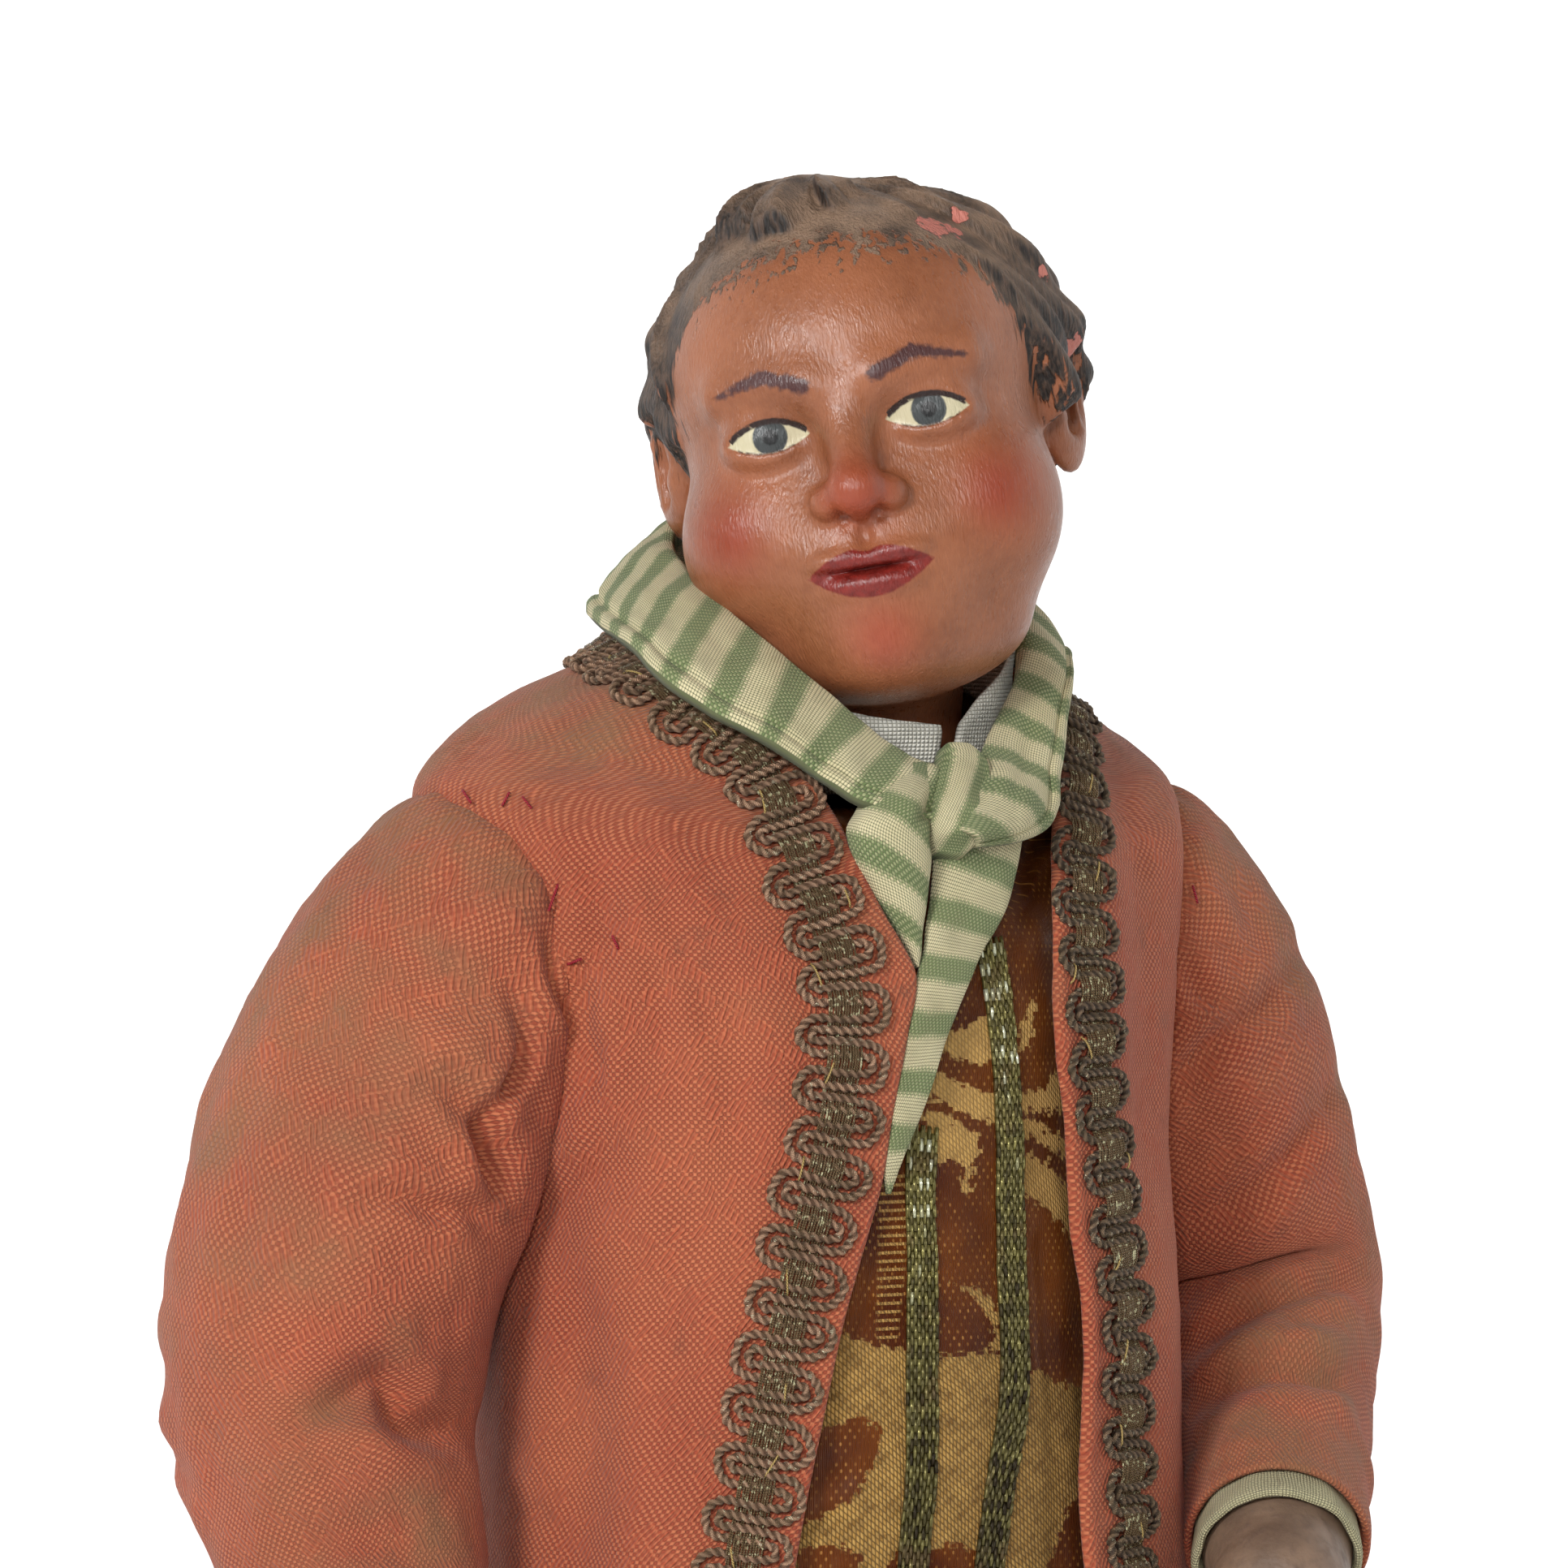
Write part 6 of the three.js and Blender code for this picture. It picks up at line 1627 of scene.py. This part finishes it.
def brocade_material():
    paint = Paint("amber_brocade", 0.42, Specular_IOR_Level=0.28)
    u, v, _ = paint.parts(paint.uv_mm)
    slanted = paint.plus(v, paint.times(u, 0.8))
    cell = {0: paint.uv_mm, 1: (0.55, 0.42, 1)}
    snapped = paint.node("ShaderNodeVectorMath", cell, operation="SNAP").outputs[0]
    jitter = paint.times(paint.minus(paint.noise(snapped, 0.9, 1), 0.5), 2.6)
    leaf = paint.step(paint.plus(paint.value("gold"), jitter), 0.1, -0.1)
    across_rows = paint.step(paint.wave(v, 0.82), 0.2, 0.6)
    rows = paint.times(paint.step(paint.value("rows"), 0.15, -0.15), across_rows)
    figure = paint.math("MAXIMUM", leaf, paint.times(rows, 0.85))
    bumps, thread = paint.weave(u, slanted, 0.4, 0.62)
    rib = paint.step(paint.wave(u, 0.21), -0.7, 0.7)
    dots = paint.times(paint.wave(u, 0.96), paint.wave(v, 1.3))
    dotted = paint.step(paint.noise(paint.uv_mm, 2.2, 2), 0.4, 0.62)
    dots = paint.times(paint.step(dots, 0.55, 0.8), dotted)
    satin = paint.mix(paint.patches(9, 2, 0.35, 0.65), srgb(84, 34, 3), srgb(124, 62, 8))
    ground = paint.tint(satin, dots, 0.8, srgb(196, 138, 70))
    worn = paint.step(paint.noise(snapped, 1.6, 2), 0.3, 0.62)
    bright = paint.mix(worn, srgb(126, 88, 34), srgb(190, 146, 74))
    gold = paint.mix(paint.step(bumps, 0.12, 0.8), srgb(62, 34, 6), bright)
    gold = paint.tint(gold, thread, 0.3, srgb(206, 168, 100))
    base = paint.mix(figure, ground, gold)
    # Painted light and shade: the brocade darkens towards the figure's left, the side turned from the light,
    # and its gold grows lighter towards the neck
    x, _, z = paint.parts(paint.object_mm)
    base = paint.mix(paint.step(x, -8, 8, 0, 0.42), base, srgb(50, 26, 6))
    base = paint.tint(base, figure, paint.step(z, 245, 275, 0, 0.4), srgb(222, 176, 104))
    relief = paint.mix(figure, rib, bumps)
    return paint.finish(base, relief, 0.12, paint.step(figure, 0, 1, 0.32, 0.62))


def ribbon_material():
    paint = Paint("green_lame", 0.3, Metallic=0.45)
    u = paint.parts(paint.uv_mm)[0]
    foil = paint.step(paint.wave(u, 0.2), -0.5, 0.6)
    # The foil's colour follows the cells' painted light from dark to light, and the brightest cells get a
    # painted sparkle
    tone = paint.value("glint")
    base = paint.mix(tone, srgb(46, 34, 10), srgb(166, 156, 92))
    base = paint.tint(base, foil, 0.45, srgb(34, 30, 12))
    base = paint.mix(paint.step(tone, 0.88, 0.97), base, srgb(234, 236, 204))
    tarnish = paint.patches(3, 2, 0.55, 0.7)
    base = paint.tint(base, tarnish, 0.6, srgb(112, 92, 58))
    return paint.finish(base, foil, 0.04, paint.step(tone, 0, 1, 0.45, 0.2))


def cravat_material():
    paint = Paint("striped_cotton", 0.85, Sheen_Weight=0.08)
    u, v, _ = paint.parts(paint.uv_mm)
    bumps, thread = paint.weave(u, v, 0.3, 0.28)
    waver = paint.times(paint.minus(paint.noise(paint.uv_mm, 5, 1), 0.5), 0.9)
    stripe = paint.wave(paint.plus(u, waver), STRIPE_PERIOD)
    edge = paint.times(paint.minus(thread, 0.5), 0.5)
    green = paint.step(paint.plus(stripe, edge), -0.15, 0.3)
    broad = paint.patches(8, 2, 0.35, 0.65)
    cream = paint.mix(broad, srgb(220, 208, 164), srgb(234, 222, 180))
    leaf = paint.mix(broad, srgb(98, 118, 70), srgb(118, 136, 86))
    leaf = paint.tint(leaf, thread, 0.55, srgb(196, 198, 148))
    base = paint.mix(green, cream, leaf)
    # Painted shade: the weave's gaps darken to one dark olive over both stripes
    base = paint.mix(paint.step(bumps, 0.6, 0.1), base, srgb(100, 106, 72))
    soil = paint.patches(3.6, 4, 0.52, 0.74)
    base = paint.tint(base, soil, 0.3, srgb(126, 120, 88))
    return paint.finish(base, bumps, 0.1)


def linen_material(name, light, dark, pitch):
    paint = Paint(name, 0.85, Sheen_Weight=0.1)
    u, v, _ = paint.parts(paint.uv_mm)
    uneven = paint.times(paint.noise(paint.uv_mm, 2.5, 1), 0.35)
    bumps, thread = paint.weave(paint.plus(u, uneven), v, pitch, pitch)
    base = paint.mix(paint.step(bumps, 0.1, 0.62), dark, light)
    base = paint.tint(base, thread, 0.15, dark)
    soil = paint.patches(4, 4, 0.5, 0.75)
    base = paint.tint(base, soil, 0.4, dark)
    return paint.finish(base, bumps, 0.2)


def drawn(paint, name, width=0.12, ragged=0.25, size=0.5):
    """1 inside a painted shape that a signed distance describes, with a brushed edge."""
    uneven = paint.minus(paint.noise(paint.vector("local"), size, 2), 0.5)
    edge = paint.plus(paint.value(name), paint.times(uneven, ragged))
    return paint.step(edge, width, -width)


def head_material():
    paint = Paint("painted_terracotta", 0.38, Specular_IOR_Level=0.5)
    local = paint.vector("local")
    streaks = paint.noise(paint.scaled(local, (1.3, 1.3, 0.14)), 1, 3)
    broad = paint.noise(local, 9, 3)
    fine = paint.noise(local, 0.8, 3)
    base = paint_skin(paint, broad, fine)
    base = paint_eyes(paint, base)
    base = paint.mix(drawn(paint, "brow", 0.2, 0.9, 0.7), base, srgb(78, 46, 44))
    lock = paint.times(paint.minus(streaks, 0.55), 18)
    hair_edge = paint.step(paint.plus(paint.value("hair"), lock), 0.9, -0.5)
    strand = paint.noise(paint.scaled(local, (2.6, 2.6, 0.4)), 1, 3)
    hair = paint.mix(paint.step(strand, 0.42, 0.64), srgb(26, 19, 14), srgb(82, 62, 49))
    up = paint.parts(paint.node("ShaderNodeNewGeometry").outputs["Normal"])[2]
    dusty = paint.times(paint.step(up, 0.05, 0.9), paint.step(paint.noise(local, 5, 4), 0.3, 0.62))
    hair = paint.tint(hair, dusty, 0.9, srgb(160, 130, 106))
    base = paint.mix(hair_edge, base, hair)
    ragged = paint.times(paint.minus(paint.noise(local, 1.1, 2), 0.5), 3.2)
    chip = paint.step(paint.plus(paint.value("chip"), ragged), 0.12, -0.12)
    base = paint.mix(chip, base, srgb(200, 120, 105))
    rough = paint.mix(hair_edge, paint.step(streaks, 0.3, 0.7, 0.24, 0.42), srgb(196, 196, 196))
    brushed = paint.times(paint.noise(paint.scaled(local, (4, 4, 1)), 1, 3), 0.5)
    locks = paint.times(paint.times(strand, hair_edge), 1.8)
    relief = paint.minus(paint.plus(brushed, locks), chip)
    return paint.finish(base, relief, 0.22, rough)


def paint_skin(paint, broad, fine):
    """Brown flesh paint with rosy cheeks, nose and chin, and dark red lips."""
    skin = paint.mix(paint.step(broad, 0.35, 0.68), srgb(136, 80, 50), srgb(160, 98, 66))
    skin = paint.tint(skin, paint.step(fine, 0.35, 0.7), 0.3, srgb(176, 112, 76))
    blush = paint.times(paint.value("blush"), paint.step(broad, 0.2, 0.6, 0.6, 1.0))
    skin = paint.tint(skin, blush, 0.82, srgb(146, 48, 28))
    skin = paint.tint(skin, paint.value("nose"), 0.9, srgb(158, 48, 28))
    skin = paint.tint(skin, paint.value("chin"), 0.5, srgb(172, 60, 38))
    lips = paint.mix(paint.step(fine, 0.3, 0.7), srgb(108, 28, 22), srgb(138, 42, 34))
    return paint.mix(drawn(paint, "lips"), skin, lips)


def paint_eyes(paint, base):
    """Painted whites, irises, pupils and lash lines over a colour."""
    eye = drawn(paint, "eye", 0.08, 0.1)
    base = paint.mix(eye, base, srgb(206, 196, 162))
    for name, ragged, colour in (("iris", 0.12, srgb(62, 66, 66)), ("pupil", 0.1, srgb(22, 22, 22))):
        base = paint.tint(base, drawn(paint, name, 0.08, ragged), eye, colour)
    base = paint.mix(drawn(paint, "lower_lid", 0.1, 0.15), base, srgb(70, 38, 28))
    return paint.mix(drawn(paint, "lid", 0.08, 0.2), base, srgb(44, 26, 22))


def hand_material():
    paint = Paint("painted_hands", 0.5)
    fine = paint.noise(paint.object_mm, 1.2, 4)
    base = paint.mix(paint.patches(6, 3, 0.35, 0.65), srgb(106, 84, 68), srgb(138, 112, 92))
    base = paint.tint(base, paint.step(fine, 0.5, 0.75), 0.4, srgb(84, 64, 56))
    return paint.finish(base, fine, 0.15, paint.step(fine, 0.3, 0.7, 0.4, 0.62))


def wool_material():
    paint = Paint("dark_wool", 0.9, Sheen_Weight=0.3)
    x, y, z = paint.parts(paint.object_mm)
    twill = paint.wave(paint.plus(paint.plus(x, y), z), 0.9)
    fuzz = paint.noise(paint.object_mm, 0.7, 3)
    base = paint.mix(paint.step(paint.plus(twill, fuzz), 0, 1.6), srgb(30, 24, 20), srgb(62, 50, 42))
    base = paint.tint(base, paint.patches(12, 4, 0.5, 0.7), 0.4, srgb(96, 78, 62))
    return paint.finish(base, paint.plus(twill, fuzz), 0.12)


def stocking_material():
    paint = Paint("painted_stocking", 0.6)
    u = paint.parts(paint.uv_mm)[0]
    rib = paint.wave(u, 1.6)
    soil = paint.patches(9, 5, 0.45, 0.72)
    base = paint.mix(paint.step(rib, -0.9, 0.2), srgb(158, 148, 126), srgb(206, 198, 176))
    base = paint.tint(base, soil, 0.55, srgb(146, 124, 96))
    crack = paint.patches(2.2, 5, 0.66, 0.7, 0.7)
    base = paint.mix(crack, base, srgb(176, 112, 86))
    return paint.finish(base, rib, 0.12)


def leather_material():
    paint = Paint("black_shoe", 0.42)
    grain = paint.noise(paint.object_mm, 0.7, 4)
    base = paint.mix(paint.step(grain, 0.35, 0.7), srgb(20, 17, 16), srgb(46, 38, 34))
    worn = paint.patches(5, 5, 0.55, 0.75)
    base = paint.tint(base, worn, 0.45, srgb(96, 78, 64))
    return paint.finish(base, grain, 0.1, paint.step(worn, 0, 1, 0.36, 0.7))


def brass_material():
    paint = Paint("old_brass", 0.32, Metallic=0.9)
    tarnish = paint.noise(paint.object_mm, 1.5, 4)
    base = paint.mix(paint.step(tarnish, 0.4, 0.65), srgb(168, 132, 70), srgb(84, 64, 36))
    return paint.finish(base, tarnish, 0.06, paint.step(tarnish, 0.4, 0.7, 0.24, 0.6))


def wood_material():
    paint = Paint("dark_wood", 0.45)
    stretched = paint.scaled(paint.object_mm, (0.09, 1, 1))
    rings = paint.noise(stretched, 5, 5, 0.6)
    pores = paint.noise(paint.scaled(paint.object_mm, (0.12, 2.6, 2.6)), 1, 3)
    base = paint.mix(paint.step(rings, 0.35, 0.66), srgb(44, 26, 16), srgb(94, 58, 34))
    base = paint.mix(paint.step(pores, 0.58, 0.7), base, srgb(26, 15, 9))
    worn = paint.patches(14, 5, 0.56, 0.76)
    base = paint.tint(base, worn, 0.35, srgb(124, 92, 64))
    return paint.finish(base, pores, 0.12, paint.step(worn, 0, 1, 0.38, 0.6))


# Stage, light and camera


def make_stage():
    """A pale floor that curves up into a backdrop far behind and all round."""
    turn = np.linspace(0, math.pi / 2, 16)
    profile = [[0.001, 0], [0.6, 0], [1.6, 0]]
    profile += [[1.6 + 0.9 * math.sin(a), 0.9 - 0.9 * math.cos(a)] for a in turn[1:]]
    profile += [[2.5, 3.4]]
    angles = full_turn(64)
    rings = np.array([[[r * math.cos(a), r * math.sin(a), z] for a in angles] for r, z in profile])
    build = Build()
    build.grid(rings / MM, ring_uv(rings / MM), wrap=True)
    mesh = new_mesh("floor", np.concatenate(build.points), build.faces)
    paint = Paint("pale_floor", 0.9)
    tone = paint.noise(paint.object_mm, 120, 2)
    pale = paint.mix(tone, (0.86, 0.86, 0.86, 1), (0.88, 0.88, 0.88, 1))
    floor = link_mesh("floor", mesh, paint.finish(pale))


def make_light(name, place, size, power, aim=(0, 0, 0.27)):
    data = bpy.data.lights.new(name, "AREA")
    data.size = size
    data.energy = power
    light = link_object(name, data)
    light.location = place
    light.rotation_euler = direction_rotation(np.array(aim) - np.array(place))


def direction_rotation(aim):
    return Vector(aim.tolist()).to_track_quat("-Z", "Y").to_euler()


def make_lights():
    world = bpy.data.worlds.new("studio")
    world.use_nodes = True
    background = world.node_tree.nodes["Background"]
    background.inputs["Color"].default_value = (1, 1, 1, 1)
    background.inputs["Strength"].default_value = WORLD_STRENGTH
    bpy.context.scene.world = world
    make_light("key", (-1.2, -0.72, 0.86), 0.3, 12.2)
    make_light("flash", (-0.42, -0.72, 0.56), 0.12, 1.9)
    make_light("fill", (1.1, -0.6, 0.6), 0.9, 1)
    for turn in BACKDROP_LIGHT_TURNS:
        away = np.array([math.cos(turn), math.sin(turn), 0])
        place, aim = away * 1.65 + (0, 0, 1.3), away * 2.2 + (0, 0, 0.15)
        make_light(f"backdrop_{round(math.degrees(turn))}", place, 1, BACKDROP_POWER, aim)


def make_camera():
    data = bpy.data.cameras.new("camera")
    data.sensor_width = SENSOR_WIDTH
    data.lens = SENSOR_WIDTH * VIEW_DISTANCE / VIEW_WIDTH
    camera = link_object("camera", data)
    camera.location = VIEW_TARGET + VIEW_BACK * VIEW_DISTANCE
    camera.rotation_euler = direction_rotation(-VIEW_BACK)
    bpy.context.scene.camera = camera
    bpy.context.scene.view_settings.view_transform = "Standard"


def make_figure():
    coral = coat_material()
    gimp = braid_material("tarnished_gimp", srgb(120, 88, 66), srgb(196, 156, 126))
    # The far braid's gimp is a darker copy of the near one's: painted shade on the braid turned from the
    # light
    far_gimp_in_shade = braid_material("gimp_painted_shade", srgb(76, 60, 46), srgb(140, 114, 88))
    core = core_material()
    foil = ribbon_material()
    make_head(head_material())
    make_waistcoat(brocade_material())
    make_coat(coral)
    make_sleeve("sleeve_right_cloth", RIGHT_ARM, "sleeve_right", 81, coral)
    make_sleeve("sleeve_left_cloth", LEFT_ARM, "sleeve_left", 91, coral)
    make_braid("braid_right_cords", RIGHT_BRAID_FRONT, RIGHT_BRAID_SHOULDER, RIGHT_BRAID_HALF, 2, gimp, core)
    make_braid("braid_left_cords", LEFT_BRAID_FRONT, LEFT_BRAID_SHOULDER, LEFT_BRAID_HALF, 3, far_gimp_in_shade, core)
    make_braid_stitches(thread_material("yellow_thread", srgb(150, 120, 60), srgb(214, 186, 118)))
    make_tacks(thread_material("crimson_thread", srgb(120, 16, 30), srgb(186, 38, 56)))
    make_ribbon("ribbon_right_foil", RIGHT_RIBBON, 14, foil)
    make_ribbon("ribbon_left_foil", LEFT_RIBBON, 15, foil)
    make_cravat(cravat_material())
    make_collar(linen_material("open_linen", srgb(252, 250, 238), srgb(204, 200, 182), 0.4))
    cuff_linen = linen_material("cuff_linen", srgb(212, 204, 160), srgb(140, 132, 100), 0.3)
    hands = hand_material()
    for side, arm, hand in (("right", RIGHT_ARM, RIGHT_HAND), ("left", LEFT_ARM, LEFT_HAND)):
        make_cuff(f"cuff_{side}_linen", arm, f"cuff_{side}", cuff_linen)
        make_hand(f"hand_{side}_paint", arm, hand, f"hand_{side}", hands)
    make_breeches(wool_material())
    stocking, leather, brass = stocking_material(), leather_material(), brass_material()
    make_leg("leg_right", RIGHT_FOOT, RIGHT_THIGH[-1], "leg_right", stocking, leather, brass)
    make_leg("leg_left", LEFT_FOOT, LEFT_THIGH[-1], "leg_left", stocking, leather, brass)
    make_base(wood_material())


make_camera()
make_lights()
make_stage()
make_figure()
